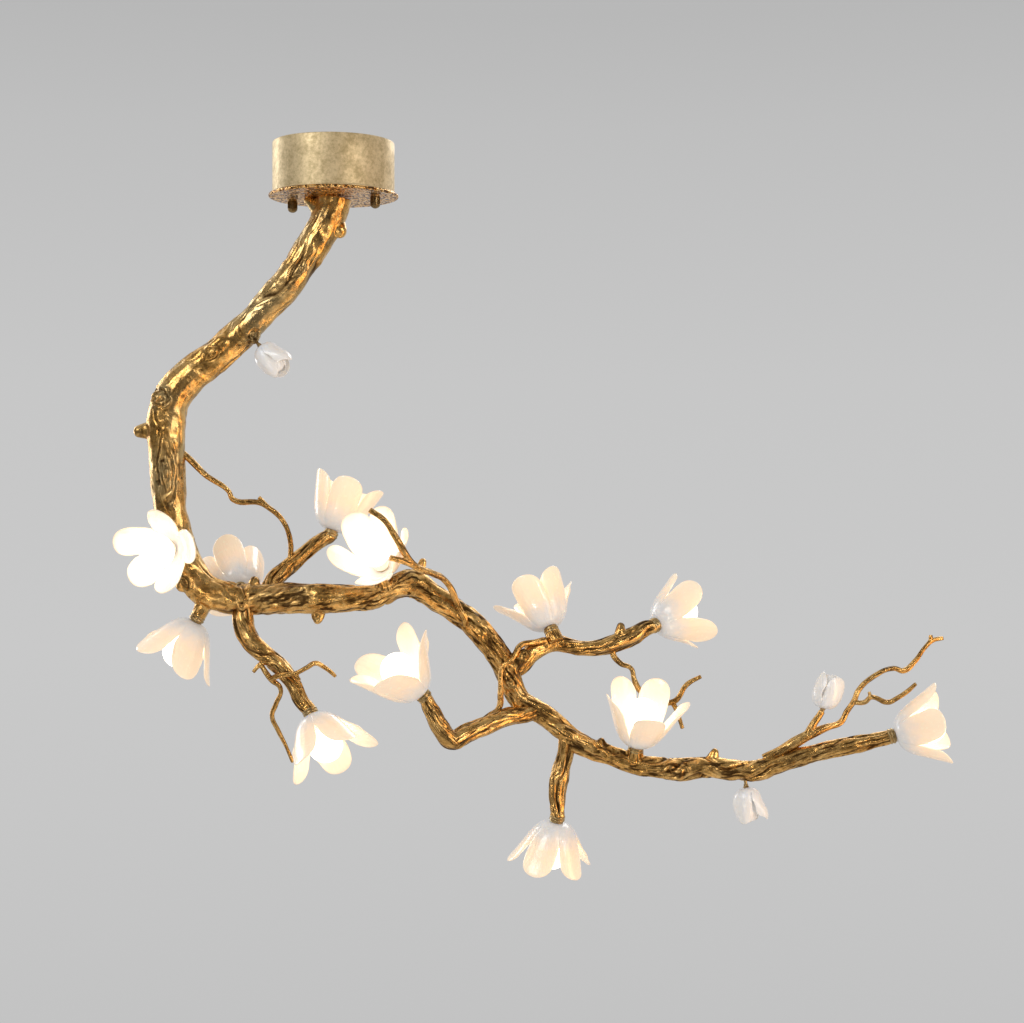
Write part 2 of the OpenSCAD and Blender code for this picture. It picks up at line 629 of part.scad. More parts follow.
module blossom(i) {
  hole_r = tube_d/2 + hand_gap;
  ring_r = ring_d/2 + hand_gap;
  open = BLOSSOMS[i][3];
  points = concat(
    round_row(hole_r/cos(180/ROUND_COLS), 0),
    round_row(base_r, 0),
    cup_row(FLOOR_SHARE, false),
    cup_row(FUSED_SHARE, false),
    round_row(hole_r/cos(180/ROUND_COLS), floor_t),
    round_row(ring_r/cos(180/ROUND_COLS), floor_t),
    cup_row(FLOOR_SHARE, true),
    cup_row(FUSED_SHARE, true),
    [
      for (side = [0:1], row = [1:PETAL_ROWS], petal = [0:PETALS-1], col = [0:PETAL_COLS])
        petal_point(side == 1, petal, row/PETAL_ROWS, COLUMN_PLACES[col], open, i)
    ]
  );
  outer = [
    for (petal = [0:PETALS-1], row = [0:PETAL_ROWS-1], col = [0:PETAL_COLS-1])
      each quad(petal_index(0, row, petal, col), petal_index(0, row, petal, col+1),
        petal_index(0, row+1, petal, col+1), petal_index(0, row+1, petal, col))
  ];
  inner = [
    for (petal = [0:PETALS-1], row = [0:PETAL_ROWS-1], col = [0:PETAL_COLS-1])
      for (f = quad(petal_index(1, row, petal, col), petal_index(1, row, petal, col+1),
        petal_index(1, row+1, petal, col+1), petal_index(1, row+1, petal, col)))
        [f[0], f[2], f[1]]
  ];
  sides = [
    for (petal = [0:PETALS-1], row = [0:PETAL_ROWS-1]) each concat(
      quad(petal_index(0, row, petal, PETAL_COLS), petal_index(1, row, petal, PETAL_COLS),
        petal_index(1, row+1, petal, PETAL_COLS), petal_index(0, row+1, petal, PETAL_COLS)),
      quad(petal_index(1, row, petal, 0), petal_index(0, row, petal, 0),
        petal_index(0, row+1, petal, 0), petal_index(1, row+1, petal, 0)))
  ];
  tips = [
    for (petal = [0:PETALS-1], col = [0:PETAL_COLS-1])
      each quad(petal_index(0, PETAL_ROWS, petal, col), petal_index(0, PETAL_ROWS, petal, col+1),
        petal_index(1, PETAL_ROWS, petal, col+1), petal_index(1, PETAL_ROWS, petal, col))
  ];
  floor_faces = concat(
    [for (f = concat(band(0, 1), band(1, 2), band(2, 3))) f],
    [for (f = concat(band(4, 5), band(5, 6), band(6, 7), band(0, 4))) [f[0], f[2], f[1]]]
  );
  color("#f2e4da") at_blossom(i) rotate(BLOSSOMS[i][2])
    polyhedron(points = points, faces = concat(floor_faces, outer, inner, sides, tips));
}

// Nipple, clamp ring and lampholder of each blossom, and the lamp that plugs in
ring_low = floor_t;
holder_low = ring_low + ring_t;
lamp_low = holder_low + holder_h;
// What stays between the nipple's and the pins' holes, and the room under a pin
holder_web = 2;
pin_room = 0.5;
tube_in_holder = holder_h - pin_l - pin_room - holder_web;

module blossom_nipples() {
  color("#b08d57") for (i = [0:len(BLOSSOMS)-1]) at_blossom(i) translate([0, 0, -socket_depth])
    ring_solid(tube_d, tube_bore, socket_depth + holder_low + tube_in_holder - hand_gap);
}
module shade_rings() {
  color("#b5985f") for (i = [0:len(BLOSSOMS)-1]) at_blossom(i) translate([0, 0, ring_low])
    ring_solid(ring_d, tube_d + 2*run_gap, ring_t);
}
module lampholders() {
  color("#efe9df") for (i = [0:len(BLOSSOMS)-1]) at_blossom(i) translate([0, 0, holder_low])
    difference() {
      cylinder(h = holder_h, d = holder_d);
      translate([0, 0, -1]) cylinder(h = tube_in_holder + 1, d = tube_d + 2*run_gap);
      for (side = [-1, 1]) translate([side*pin_spacing/2, 0, holder_h - pin_l - pin_room])
        cylinder(h = pin_l + pin_room + 1, d = pin_d + 2*hand_gap, $fn = 24);
    }
}
module lamp(i) {
  globe_rise = sqrt(pow(globe_d/2, 2) - pow(lamp_base_d/2, 2));
  color("#fff3dc") at_blossom(i) translate([0, 0, lamp_low]) union() {
    cylinder(h = lamp_base_h + 1, d = lamp_base_d);
    translate([0, 0, lamp_base_h + globe_rise]) sphere(d = globe_d);
    for (side = [-1, 1]) translate([side*pin_spacing/2, 0, -pin_l])
      cylinder(h = pin_l + 1, d = pin_d, $fn = 24);
  }
}

// Closed bud: a teardrop with twisted grooves between its petals
BUD_COLS = 15;
BUD_ROWS = 8;
BUD_TWIST = 70;
BUD_FOOT = 0.03;
function bud_share(row) = BUD_FOOT + (1 - BUD_FOOT)*row/BUD_ROWS;
function bud_radius(share) = bud_r*pow(sin(180*pow(share, 0.85)), 0.7);
function bud_ring(row) = let (share = bud_share(row), r = bud_radius(share)) [
  for (k = [0:BUD_COLS-1])
    let (angle = 360*k/BUD_COLS, groove = 1 + bud_groove*cos(3*angle + BUD_TWIST*share)*share)
      [r*groove*cos(angle), r*groove*sin(angle), bud_l*(share - BUD_FOOT)]
];
module bud(i) {
  rings = [for (row = [0:BUD_ROWS-1]) each bud_ring(row)];
  tip = len(rings);
  foot = [for (k = [1:BUD_COLS-2]) [0, k, k+1]];
  walls = [
    for (row = [0:BUD_ROWS-2], k = [0:BUD_COLS-1])
      let (a = row*BUD_COLS + k, b = row*BUD_COLS + (k+1)%BUD_COLS)
        each quad(a, b, b + BUD_COLS, a + BUD_COLS)
  ];
  crown = [
    for (k = [0:BUD_COLS-1])
      [(BUD_ROWS-1)*BUD_COLS + k, tip, (BUD_ROWS-1)*BUD_COLS + (k+1)%BUD_COLS]
  ];
  color("#f4ece4") at_bud(i)
    polyhedron(points = concat(rings, [[0, 0, bud_l*(1 - BUD_FOOT)]]), faces = concat(foot, walls, crown));
}
module bud_pins() {
  color("#8f7440") for (i = [0:len(BUDS)-1]) at_bud(i) translate([0, 0, -BUDS[i][2]])
    cylinder(h = BUDS[i][2], d = bud_pin_d);
}

// Canopy and what hangs it
module ceiling_bracket() {
  flat = strap_flat/2;
  end = strap_l/2;
  side = [
    [flat, 0], [flat + strap_ramp, -strap_step], [end, -strap_step], [end, -strap_step - strap_t],
    [flat + strap_ramp - strap_t/2, -strap_step - strap_t], [flat - strap_t/2, -strap_t]
  ];
  outline = concat(side, [for (k = [len(side)-1:-1:0]) [-side[k][0], side[k][1]]]);
  color("#b9bcc0") rotate(stud_angle) difference() {
    rotate([90, 0, 0]) translate([0, 0, -strap_w/2]) linear_extrude(strap_w) polygon(outline);
    for (s = [-1, 1]) {
      translate([s*screw_spacing/2, 0, -strap_t - 1]) cylinder(h = strap_t + 2, d = screw_hole_d);
      translate([s*stud_spacing/2, 0, -strap_step - strap_t - 1])
        cylinder(h = strap_t + 2, d = stud_d + 2*cast_gap);
    }
    translate([-earth_x, 0, -strap_t - 1]) cylinder(h = strap_t + 2, d = stud_d + 2*run_gap);
  }
}
module bracket_studs() {
  color("#c8c9cb") for (s = [-1, 1]) at_studs(s) union() {
    translate([0, 0, -strap_step]) cylinder(h = stud_head_t, d = stud_hex/cos(30), $fn = 6);
    translate([0, 0, nut_top - stud_grip]) cylinder(h = stud_grip - nut_top - strap_step, d = stud_d);
  }
}
module stud_locknuts() {
  color("#c8c9cb") for (s = [-1, 1]) at_studs(s)
    translate([0, 0, -strap_step - strap_t - stud_hex_t]) hex_nut(stud_hex, stud_d + 2*run_gap, stud_hex_t);
}
module canopy_drum() {
  color("#bca984") translate([0, 0, plate_top]) ring_solid(drum_d, drum_d - 2*drum_wall, drum_h);
}
module canopy_plate() {
  spigot_d = drum_d - 2*drum_wall - 2*hand_gap;
  color("#c69a5a") difference() {
    union() {
      translate([0, 0, plate_low]) cylinder(h = plate_t, r = plate_r - plate_t/2);
      translate([0, 0, plate_low + plate_t/2]) rotate_extrude() translate([plate_r - plate_t/2, 0])
        circle(d = plate_t);
      translate([0, 0, plate_top - 1]) ring_solid(spigot_d, spigot_d - 2*spigot_wall, spigot_h + 1);
    }
    translate([0, 0, plate_low - 1]) cylinder(h = plate_t + 2, d = nipple_d + 2*hand_gap);
    for (s = [-1, 1]) at_studs(s) translate([0, 0, plate_low - 1])
      cylinder(h = plate_t + 2, d = stud_d + 2*hand_gap);
  }
}
module stud_washer(side) {
  color("#b08d57") at_studs(side) translate([0, 0, nut_top])
    ring_solid(cap_nut_d - 1, stud_d + 2*run_gap, washer_t);
}
module cap_nut(side) {
  color("#8d7340") at_studs(side) translate([0, 0, nut_top - cap_nut_h]) difference() {
    union() {
      cylinder(h = cap_nut_h, d = cap_nut_d);
      intersection() {
        translate([0, 0, dome_centre()]) sphere(r = dome_r());
        translate([0, 0, -cap_dome_h - 1]) cylinder(h = cap_dome_h + 2, d = cap_nut_d);
      }
    }
    translate([0, 0, cap_nut_h - stud_grip - 1]) cylinder(h = stud_grip + 2, d = stud_d + 2*run_gap);
  }
}
function dome_r() = (pow(cap_nut_d/2, 2) + pow(cap_dome_h, 2))/(2*cap_dome_h);
function dome_centre() = dome_r() - cap_dome_h;

module canopy_nipple() {
  color("#b08d57") translate([0, 0, plate_low - nipple_root])
    ring_solid(nipple_d, nipple_bore, nipple_root + plate_t + nipple_top);
}
module nipple_washer() {
  color("#c8c9cb") translate([0, 0, plate_top])
    ring_solid(nipple_washer_d, nipple_d + 2*run_gap, nipple_washer_t);
}
module nipple_nut() {
  color("#c8c9cb") translate([0, 0, plate_top + nipple_washer_t])
    hex_nut(nipple_hex, nipple_d + 2*run_gap, nipple_hex_t);
}
module terminal_block() {
  pitch = block_l/block_poles;
  color("#f0efe8") rotate(stud_angle) translate([0, 0, -strap_t - block_h]) difference() {
    translate([-block_l/2, -block_w/2, 0]) cube([block_l, block_w, block_h]);
    for (k = [0:block_poles-1]) translate([(k + 0.5)*pitch - block_l/2, 0, 0]) {
      translate([0, block_w/2 + 1, block_h/2]) rotate([90, 0, 0]) cylinder(h = block_w + 2, d = pole_wire_d);
      for (s = [-1, 1]) translate([0, s*block_w/4, -1]) cylinder(h = block_h/2, d = pole_screw_d);
    }
  }
}
module earth_screw() {
  color("#c9a24f") rotate(stud_angle) translate([-earth_x, 0, 0]) union() {
    translate([0, 0, -strap_t - earth_head_t]) cylinder(h = earth_head_t, d = earth_head_d);
    translate([0, 0, -strap_t - 1]) cylinder(h = strap_t + 1, d = stud_d);
  }
}

ceiling_bracket();
bracket_studs();
stud_locknuts();
canopy_drum();
canopy_plate();
stud_washer(-1);  // stud_washer_left
stud_washer(1);  // stud_washer_right
cap_nut(-1);  // cap_nut_left
cap_nut(1);  // cap_nut_right
canopy_nipple();
nipple_washer();
nipple_nut();
terminal_block();
earth_screw();
trunk();
bough();
drooping_limb();
back_limb();
left_limb();
right_limb();
lower_limb();
trunk_twig();
front_fork();
vine_twig();
hanging_twig();
back_twig();
tip_twig();
bud(0);  // bud_1
bud(1);  // bud_2
bud(2);  // bud_3
bud_pins();
blossom(0);  // blossom_1
blossom(1);  // blossom_2
blossom(2);  // blossom_3
blossom(3);  // blossom_4
blossom(4);  // blossom_5
blossom(5);  // blossom_6
blossom(6);  // blossom_7
blossom(7);  // blossom_8
blossom(8);  // blossom_9
blossom(9);  // blossom_10
blossom(10);  // blossom_11
blossom(11);  // blossom_12
blossom_nipples();
shade_rings();
lampholders();
lamp(0);  // lamp_1
lamp(1);  // lamp_2
lamp(2);  // lamp_3
lamp(3);  // lamp_4
lamp(4);  // lamp_5
lamp(5);  // lamp_6
lamp(6);  // lamp_7
lamp(7);  // lamp_8
lamp(8);  // lamp_9
lamp(9);  // lamp_10
lamp(10);  // lamp_11
lamp(11);  // lamp_12
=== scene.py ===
"""Dress and light the branch ceiling light: cast brass, lit porcelain blossoms, buds and canopy."""

import logging
import math
from dataclasses import dataclass, field
from enum import Enum
from typing import Callable, Iterable, Sequence

import bpy
import numpy as np
from mathutils import Matrix, Vector, kdtree


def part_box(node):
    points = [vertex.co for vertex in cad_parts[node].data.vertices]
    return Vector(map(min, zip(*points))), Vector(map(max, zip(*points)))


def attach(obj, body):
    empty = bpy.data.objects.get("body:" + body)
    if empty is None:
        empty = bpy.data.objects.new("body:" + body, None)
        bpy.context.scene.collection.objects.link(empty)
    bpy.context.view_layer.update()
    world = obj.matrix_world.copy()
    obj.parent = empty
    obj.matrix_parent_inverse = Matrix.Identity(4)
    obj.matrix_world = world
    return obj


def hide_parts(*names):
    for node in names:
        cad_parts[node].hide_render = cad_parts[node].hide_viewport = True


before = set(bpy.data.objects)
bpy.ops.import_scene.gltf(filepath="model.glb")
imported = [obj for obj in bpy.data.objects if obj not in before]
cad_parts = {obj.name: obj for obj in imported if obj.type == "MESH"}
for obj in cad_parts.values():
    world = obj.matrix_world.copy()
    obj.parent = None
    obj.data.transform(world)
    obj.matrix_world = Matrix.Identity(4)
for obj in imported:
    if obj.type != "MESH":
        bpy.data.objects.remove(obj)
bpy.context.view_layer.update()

LOG = logging.getLogger("branch_light")
MM = 0.001
FIXTURE = "fixture"
MM_IN_METRE = 1000
# How near the corners of a bent sheet or a tube must be to be merged, in metres
SEAM = 0.02 * MM
# The hash that value_noise draws its values from, and how far each seed shifts its lattice
HASH_AXES = (73856093, 19349663, 83492791)
HASH_STEP = 1103515245
HASH_SEED = 12345
HASH_MIX = 1274126177
HASH_MASK = 0x7FFFFFFF
HASH_LEVELS = 65536
SEED_SHIFT = 17.3

Point = tuple[float, float, float]
Station = tuple[float, float, float, float]
Surface = Callable[[np.ndarray, np.ndarray], np.ndarray]
Colour = tuple[float, float, float]


class Stack(Enum):
    """Modifiers that finish a piece, by the name Blender gives each kind."""

    WALL = "SOLIDIFY"
    ROUNDED = "SUBSURF"
    FUSED = "REMESH"
    SOFTENED = "SMOOTH"
    EASED = "BEVEL"


def start_clean() -> None:
    """Go back to object mode with nothing selected, so an operator acts on its own piece only."""
    if bpy.context.object and bpy.context.object.mode != "OBJECT":
        bpy.ops.object.mode_set(mode="OBJECT")
    bpy.ops.object.select_all(action="DESELECT")


def make_active(piece: bpy.types.Object) -> None:
    """Select one piece alone and make it the active one."""
    start_clean()
    piece.select_set(True)
    bpy.context.view_layer.objects.active = piece


def named(piece: bpy.types.Object, name: str) -> bpy.types.Object:
    """Give a piece and its mesh the same name.

    Args:
        piece: the object to name.
        name: its new name.

    Returns:
        The same object.
    """
    piece.name = name
    piece.data.name = name
    return piece


def read_rows(items: bpy.types.bpy_prop_collection, key: str) -> np.ndarray:
    """Read one vector from each of a mesh's vertices or faces.

    Args:
        items: the vertices or the faces.
        key: which of their vectors.

    Returns:
        One row of three numbers for each.
    """
    flat = np.empty(len(items) * 3)
    items.foreach_get(key, flat)
    return flat.reshape(-1, 3)


def read_points(piece: bpy.types.Object) -> np.ndarray:
    """Read a mesh's vertices, one row of x, y, z in metres for each."""
    return read_rows(piece.data.vertices, "co")


def write_points(piece: bpy.types.Object, points: np.ndarray) -> None:
    """Move a mesh's vertices to new places.

    Args:
        piece: a mesh object.
        points: one row of x, y, z for each vertex, in metres.
    """
    piece.data.vertices.foreach_set("co", np.ascontiguousarray(points, dtype=float).ravel())
    piece.data.update()


def set_attribute(piece: bpy.types.Object, name: str, values: np.ndarray) -> None:
    """Keep one number for each vertex, for a material to read.

    Args:
        piece: a mesh object.
        name: the attribute's name.
        values: one number for each vertex.
    """
    layer = piece.data.attributes.new(name, "FLOAT", "POINT")
    layer.data.foreach_set("value", np.ascontiguousarray(values, dtype=np.float32))


def apply_modifier(piece: bpy.types.Object, kind: Stack, **settings: object) -> None:
    """Add one modifier, set it and apply it.

    Args:
        piece: the mesh object to finish.
        kind: which modifier.
        **settings: its properties by name.
    """
    make_active(piece)
    modifier = piece.modifiers.new(kind.name.lower(), kind.value)
    for key, value in settings.items():
        setattr(modifier, key, value)
    bpy.ops.object.modifier_apply(modifier=modifier.name)


def join(pieces: Sequence[bpy.types.Object], name: str) -> bpy.types.Object:
    """Join several meshes into the first one.

    Args:
        pieces: the meshes, in the row's frame.
        name: the name of the joined piece.

    Returns:
        The joined object.
    """
    start_clean()
    for piece in pieces:
        piece.select_set(True)
    bpy.context.view_layer.objects.active = pieces[0]
    if len(pieces) > 1:
        bpy.ops.object.join()
    return named(pieces[0], name)


def merge_doubles(piece: bpy.types.Object, distance: float, outward: bool = False) -> None:
    """Merge a mesh's vertices that coincide.

    Args:
        piece: the mesh object.
        distance: how near two vertices must be, in metres.
        outward: whether the faces of a closed shape are then turned outwards.
    """
    make_active(piece)
    bpy.ops.object.mode_set(mode="EDIT")
    bpy.ops.mesh.select_all(action="SELECT")
    bpy.ops.mesh.remove_doubles(threshold=distance)
    if outward:
        bpy.ops.mesh.normals_make_consistent(inside=False)
    bpy.ops.object.mode_set(mode="OBJECT")


def shade(piece: bpy.types.Object, angle: float | None = None) -> None:
    """Shade a piece smooth, all over or up to an angle.

    Args:
        piece: the mesh object.
        angle: the largest angle in degrees that is still smooth, or None for all.
    """
    make_active(piece)
    if angle is None:
        bpy.ops.object.shade_smooth()
    else:
        bpy.ops.object.shade_smooth_by_angle(angle=math.radians(angle))


def select_faces(piece: bpy.types.Object, chosen: np.ndarray) -> None:
    """Go into edit mode with only the chosen faces selected.

    Args:
        piece: the mesh object.
        chosen: true for each face that is wanted.
    """
    make_active(piece)
    bpy.ops.object.mode_set(mode="EDIT")
    bpy.ops.mesh.select_mode(type="FACE")
    bpy.ops.mesh.select_all(action="DESELECT")
    bpy.ops.object.mode_set(mode="OBJECT")
    piece.data.polygons.foreach_set("select", np.ascontiguousarray(chosen, dtype=bool))
    bpy.ops.object.mode_set(mode="EDIT")


def own_copy(piece: bpy.types.Object, name: str) -> bpy.types.Object:
    """Copy a piece with a mesh of its own.

    Args:
        piece: the piece that was modelled once.
        name: the copy's name.

    Returns:
        The copy.
    """
    make_active(piece)
    bpy.ops.object.duplicate(linked=False)
    return named(bpy.context.object, name)


def discard(piece: bpy.types.Object) -> None:
    """Delete a pattern piece that its copies were made from."""
    bpy.data.objects.remove(piece)


def deliver(piece: bpy.types.Object, body: str, nodes: Iterable[str] = ()) -> None:
    """Let a finished piece ride on its body and stand for its CAD nodes.

    Args:
        piece: the finished piece.
        body: the CAD body that it moves with.
        nodes: the CAD nodes that it replaces.
    """
    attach(piece, body)
    if nodes:
        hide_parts(*nodes)
    LOG.info("%s rides on %s with %d faces", piece.name, body, len(piece.data.polygons))


def laid_grid(name: str, columns: int, rows: int, surface: Surface) -> bpy.types.Object:
    """Add a grid and lay it on a curved surface, which operators alone can't give a petal.

    Args:
        name: the piece's name.
        columns: faces across.
        rows: faces along.
        surface: gives places in mm from shares across, -1 to 1, and along, 0 to 1.

    Returns:
        The grid, in metres, with its flat layout kept as its UV map.
    """
    start_clean()
    bpy.ops.mesh.primitive_grid_add(x_subdivisions=columns, y_subdivisions=rows, size=2)
    grid = named(bpy.context.object, name)
    flat = read_points(grid)
    write_points(grid, surface(flat[:, 0], (flat[:, 1] + 1) / 2) * MM)
    return grid


def turned(name: str, profile: Sequence[tuple[float, float]], steps: int = 64) -> bpy.types.Object:
    """Spin a closed profile about Z, as on a lathe.

    Args:
        name: the piece's name.
        profile: the loop's corners as radius and height in mm.
        steps: faces round the axis.

    Returns:
        The closed turned piece, in metres.
    """
    start_clean()
    bpy.ops.mesh.primitive_circle_add(vertices=len(profile), radius=1, fill_type="NOTHING")
    piece = named(bpy.context.object, name)
    write_points(piece, np.array([(r, 0, z) for r, z in profile]) * MM)
    bpy.ops.object.mode_set(mode="EDIT")
    bpy.ops.mesh.select_all(action="SELECT")
    bpy.ops.mesh.spin(steps=steps, angle=2 * math.pi, center=(0, 0, 0), axis=(0, 0, 1))
    bpy.ops.object.mode_set(mode="OBJECT")
    merge_doubles(piece, 0.01 * MM, outward=True)
    return piece


def ease(part: np.ndarray) -> np.ndarray:
    """Bend a straight rise from 0 to 1 so that it starts and ends gently."""
    return part * part * (3 - 2 * part)


def value_noise(places: np.ndarray, size: float, seed: int = 0) -> np.ndarray:
    """Smooth noise that repeats the same way on each run.

    Args:
        places: points in mm.
        size: the size of its features in mm.
        seed: which noise.

    Returns:
        One number from 0 to 1 for each point.
    """
    cell = places / size + SEED_SHIFT * seed
    low = np.floor(cell).astype(np.int64)
    part = ease(cell - low)
    total = np.zeros(len(places))
    for corner in range(8):
        step = np.array([corner & 1, corner >> 1 & 1, corner >> 2 & 1])
        node = low + step
        mixed = node[:, 0] * HASH_AXES[0] ^ node[:, 1] * HASH_AXES[1] ^ node[:, 2] * HASH_AXES[2]
        mixed = mixed * HASH_STEP + HASH_SEED * (seed + 1) & HASH_MASK
        mixed = (mixed ^ mixed >> 13) * HASH_MIX & HASH_MASK
        weight = np.prod(np.where(step == 1, part, 1 - part), axis=1)
        total += weight * (mixed % HASH_LEVELS) / (HASH_LEVELS - 1)
    return total


def fade(low: float, high: float, values: np.ndarray) -> np.ndarray:
    """Rise smoothly from 0 at low to 1 at high.

    Args:
        low: where the rise begins.
        high: where it ends.
        values: the numbers to grade.

    Returns:
        One number from 0 to 1 for each value.
    """
    return ease(np.clip((values - low) / (high - low), 0, 1))


def unit(vector: Sequence[float]) -> np.ndarray:
    """Scale a vector to length 1."""
    return np.array(vector, dtype=float) / np.linalg.norm(vector)


class Nodes:
    """A node tree under construction."""

    def __init__(self, tree: bpy.types.NodeTree) -> None:
        """Take over the tree that the nodes go into."""
        self.tree = tree

    def node(self, kind: str, **links: object) -> bpy.types.Node:
        """Add a node and fill its inputs.

        Args:
            kind: the node's type.
            **links: sockets or values for its inputs, by name with _ for spaces.

        Returns:
            The node.
        """
        made = self.tree.nodes.new(kind)
        for key, value in links.items():
            self.feed(made.inputs[key.replace("_", " ")], value)
        return made

    def feed(self, socket: bpy.types.NodeSocket, value: object) -> None:
        """Link another socket into an input, or set a value on it.

        Args:
            socket: the input.
            value: the other node's output, or the value.
        """
        if isinstance(value, bpy.types.NodeSocket):
            self.tree.links.new(value, socket)
        else:
            socket.default_value = value

    def ramp(self, value: bpy.types.NodeSocket,
             stops: Sequence[tuple[float, Colour]]) -> bpy.types.NodeSocket:
        """Turn a value into a colour.

        Args:
            value: the value to grade.
            stops: places from 0 to 1 in rising order, each with its colour.

        Returns:
            The colour.
        """
        made = self.node("ShaderNodeValToRGB", Fac=value)
        ends = made.color_ramp.elements
        while len(ends) < len(stops):
            ends.new(1.0)
        for stop, (place, colour) in zip(ends, stops):
            stop.position = place
            stop.color = (*colour, 1)
        return made.outputs["Color"]

    def grade(self, value: bpy.types.NodeSocket, low: float, high: float,
              least: float = 0.0, most: float = 1.0) -> bpy.types.NodeSocket:
        """Map a value's range to another, with both ends held.

        Args:
            value: the value to grade.
            low: the value that gives the least.
            high: the value that gives the most.
            least: the result at low.
            most: the result at high.

        Returns:
            The graded value.
        """
        made = self.node("ShaderNodeMapRange")
        for socket, filling in zip(made.inputs, (value, low, high, least, most)):
            self.feed(socket, filling)
        return made.outputs[0]

    def blend(self, share: object, first: object, second: object) -> bpy.types.NodeSocket:
        """Mix two colours.

        Args:
            share: how much of the second.
            first: a colour or a socket.
            second: a colour or a socket.

        Returns:
            The mixed colour.
        """
        made = self.node("ShaderNodeMix")
        made.data_type = "RGBA"
        # A mix node's colour sockets are its inputs 6 and 7 and its output 2
        for index, value in ((0, share), (6, first), (7, second)):
            colour = isinstance(value, tuple) and len(value) == 3
            self.feed(made.inputs[index], (*value, 1) if colour else value)
        return made.outputs[2]

    def combine(self, operation: str, first: object, second: object) -> bpy.types.NodeSocket:
        """Combine two values with one operation.

        Args:
            operation: Blender's name of the operation.
            first: a value or a number.
            second: a value or a number.

        Returns:
            The result.
        """
        made = self.node("ShaderNodeMath")
        made.operation = operation
        self.feed(made.inputs[0], first)
        self.feed(made.inputs[1], second)
        return made.outputs[0]

    def sum(self, first: object, second: object) -> bpy.types.NodeSocket:
        """Add two values."""
        return self.combine("ADD", first, second)

    def less(self, first: object, second: object) -> bpy.types.NodeSocket:
        """Take the second value from the first."""
        return self.combine("SUBTRACT", first, second)

    def times(self, first: object, second: object) -> bpy.types.NodeSocket:
        """Multiply two values."""
        return self.combine("MULTIPLY", first, second)

    def larger(self, first: object, second: object) -> bpy.types.NodeSocket:
        """Keep the larger of two values."""
        return self.combine("MAXIMUM", first, second)

    def weigh(self, first: object, second: object, share: float) -> bpy.types.NodeSocket:
        """Add two values by weight, where the share is the first one's."""
        return self.sum(self.times(first, share), self.times(second, 1 - share))

    def stretched(self, places: bpy.types.NodeSocket, factors: Point) -> bpy.types.NodeSocket:
        """Scale coordinates, so that a pattern on them is drawn out.

        Args:
            places: the coordinates.
            factors: the factor for each direction, where less than 1 draws it out.

        Returns:
            The scaled coordinates.
        """
        made = self.node("ShaderNodeVectorMath", Vector=places)
        made.operation = "MULTIPLY"
        made.inputs[1].default_value = factors
        return made.outputs[0]


class Shading(Nodes):
    """A node material under construction, patterned on Object coordinates."""

    def __init__(self, name: str, **constants: object) -> None:
        """Start the material.

        Args:
            name: the material's name.
            **constants: the shader's sockets that are the same all over, with _ for spaces.
        """
        self.material = bpy.data.materials.new(name)
        self.material.use_nodes = True
        super().__init__(self.material.node_tree)
        self.shader = self.tree.nodes["Principled BSDF"]
        self.places = self.node("ShaderNodeTexCoord").outputs["Object"]
        self.fill(**constants)

    def fill(self, **sockets: object) -> None:
        """Set or link the shader's sockets, by name with _ for spaces."""
        for key, value in sockets.items():
            self.feed(self.shader.inputs[key.replace("_", " ").title()], value)

    def noise(self, size: float, detail: float = 3, rough: float = 0.55,
              places: bpy.types.NodeSocket | None = None) -> bpy.types.NodeSocket:
        """Cloudy noise.

        Args:
            size: its features in mm.
            detail: layers of finer noise.
            rough: how strong the finer layers are.
            places: other coordinates than the object's.

        Returns:
            A value from 0 to 1.
        """
        cloud = self.node("ShaderNodeTexNoise", Vector=places or self.places,
                          Scale=MM_IN_METRE / size, Detail=float(detail), Roughness=rough)
        return cloud.outputs["Fac"]

    def attribute(self, name: str) -> bpy.types.NodeSocket:
        """Read a number that a piece keeps for each vertex.

        Args:
            name: the attribute's name.

        Returns:
            The number.
        """
        made = self.node("ShaderNodeAttribute")
        made.attribute_name = name
        return made.outputs["Fac"]

    def relief(self, height: bpy.types.NodeSocket, depth: float, strength: float = 1.0,
               under: bpy.types.NodeSocket | None = None) -> bpy.types.NodeSocket:
        """Turn a height into a bump.

        Args:
            height: the height from 0 to 1.
            depth: the bump's depth in mm.
            strength: the bump's strength.
            under: another bump that this one lies on.

        Returns:
            The bent normal.
        """
        made = self.node("ShaderNodeBump", Height=height, Distance=depth * MM, Strength=strength)
        if under is not None:
            self.feed(made.inputs["Normal"], under)
        return made.outputs["Normal"]

    def finish(self, **sockets: bpy.types.NodeSocket) -> bpy.types.Material:
        """Link the patterns into the shader.

        Args:
            **sockets: the shader's sockets by name with _ for spaces.

        Returns:
            The finished material.
        """
        self.fill(**sockets)
        return self.material


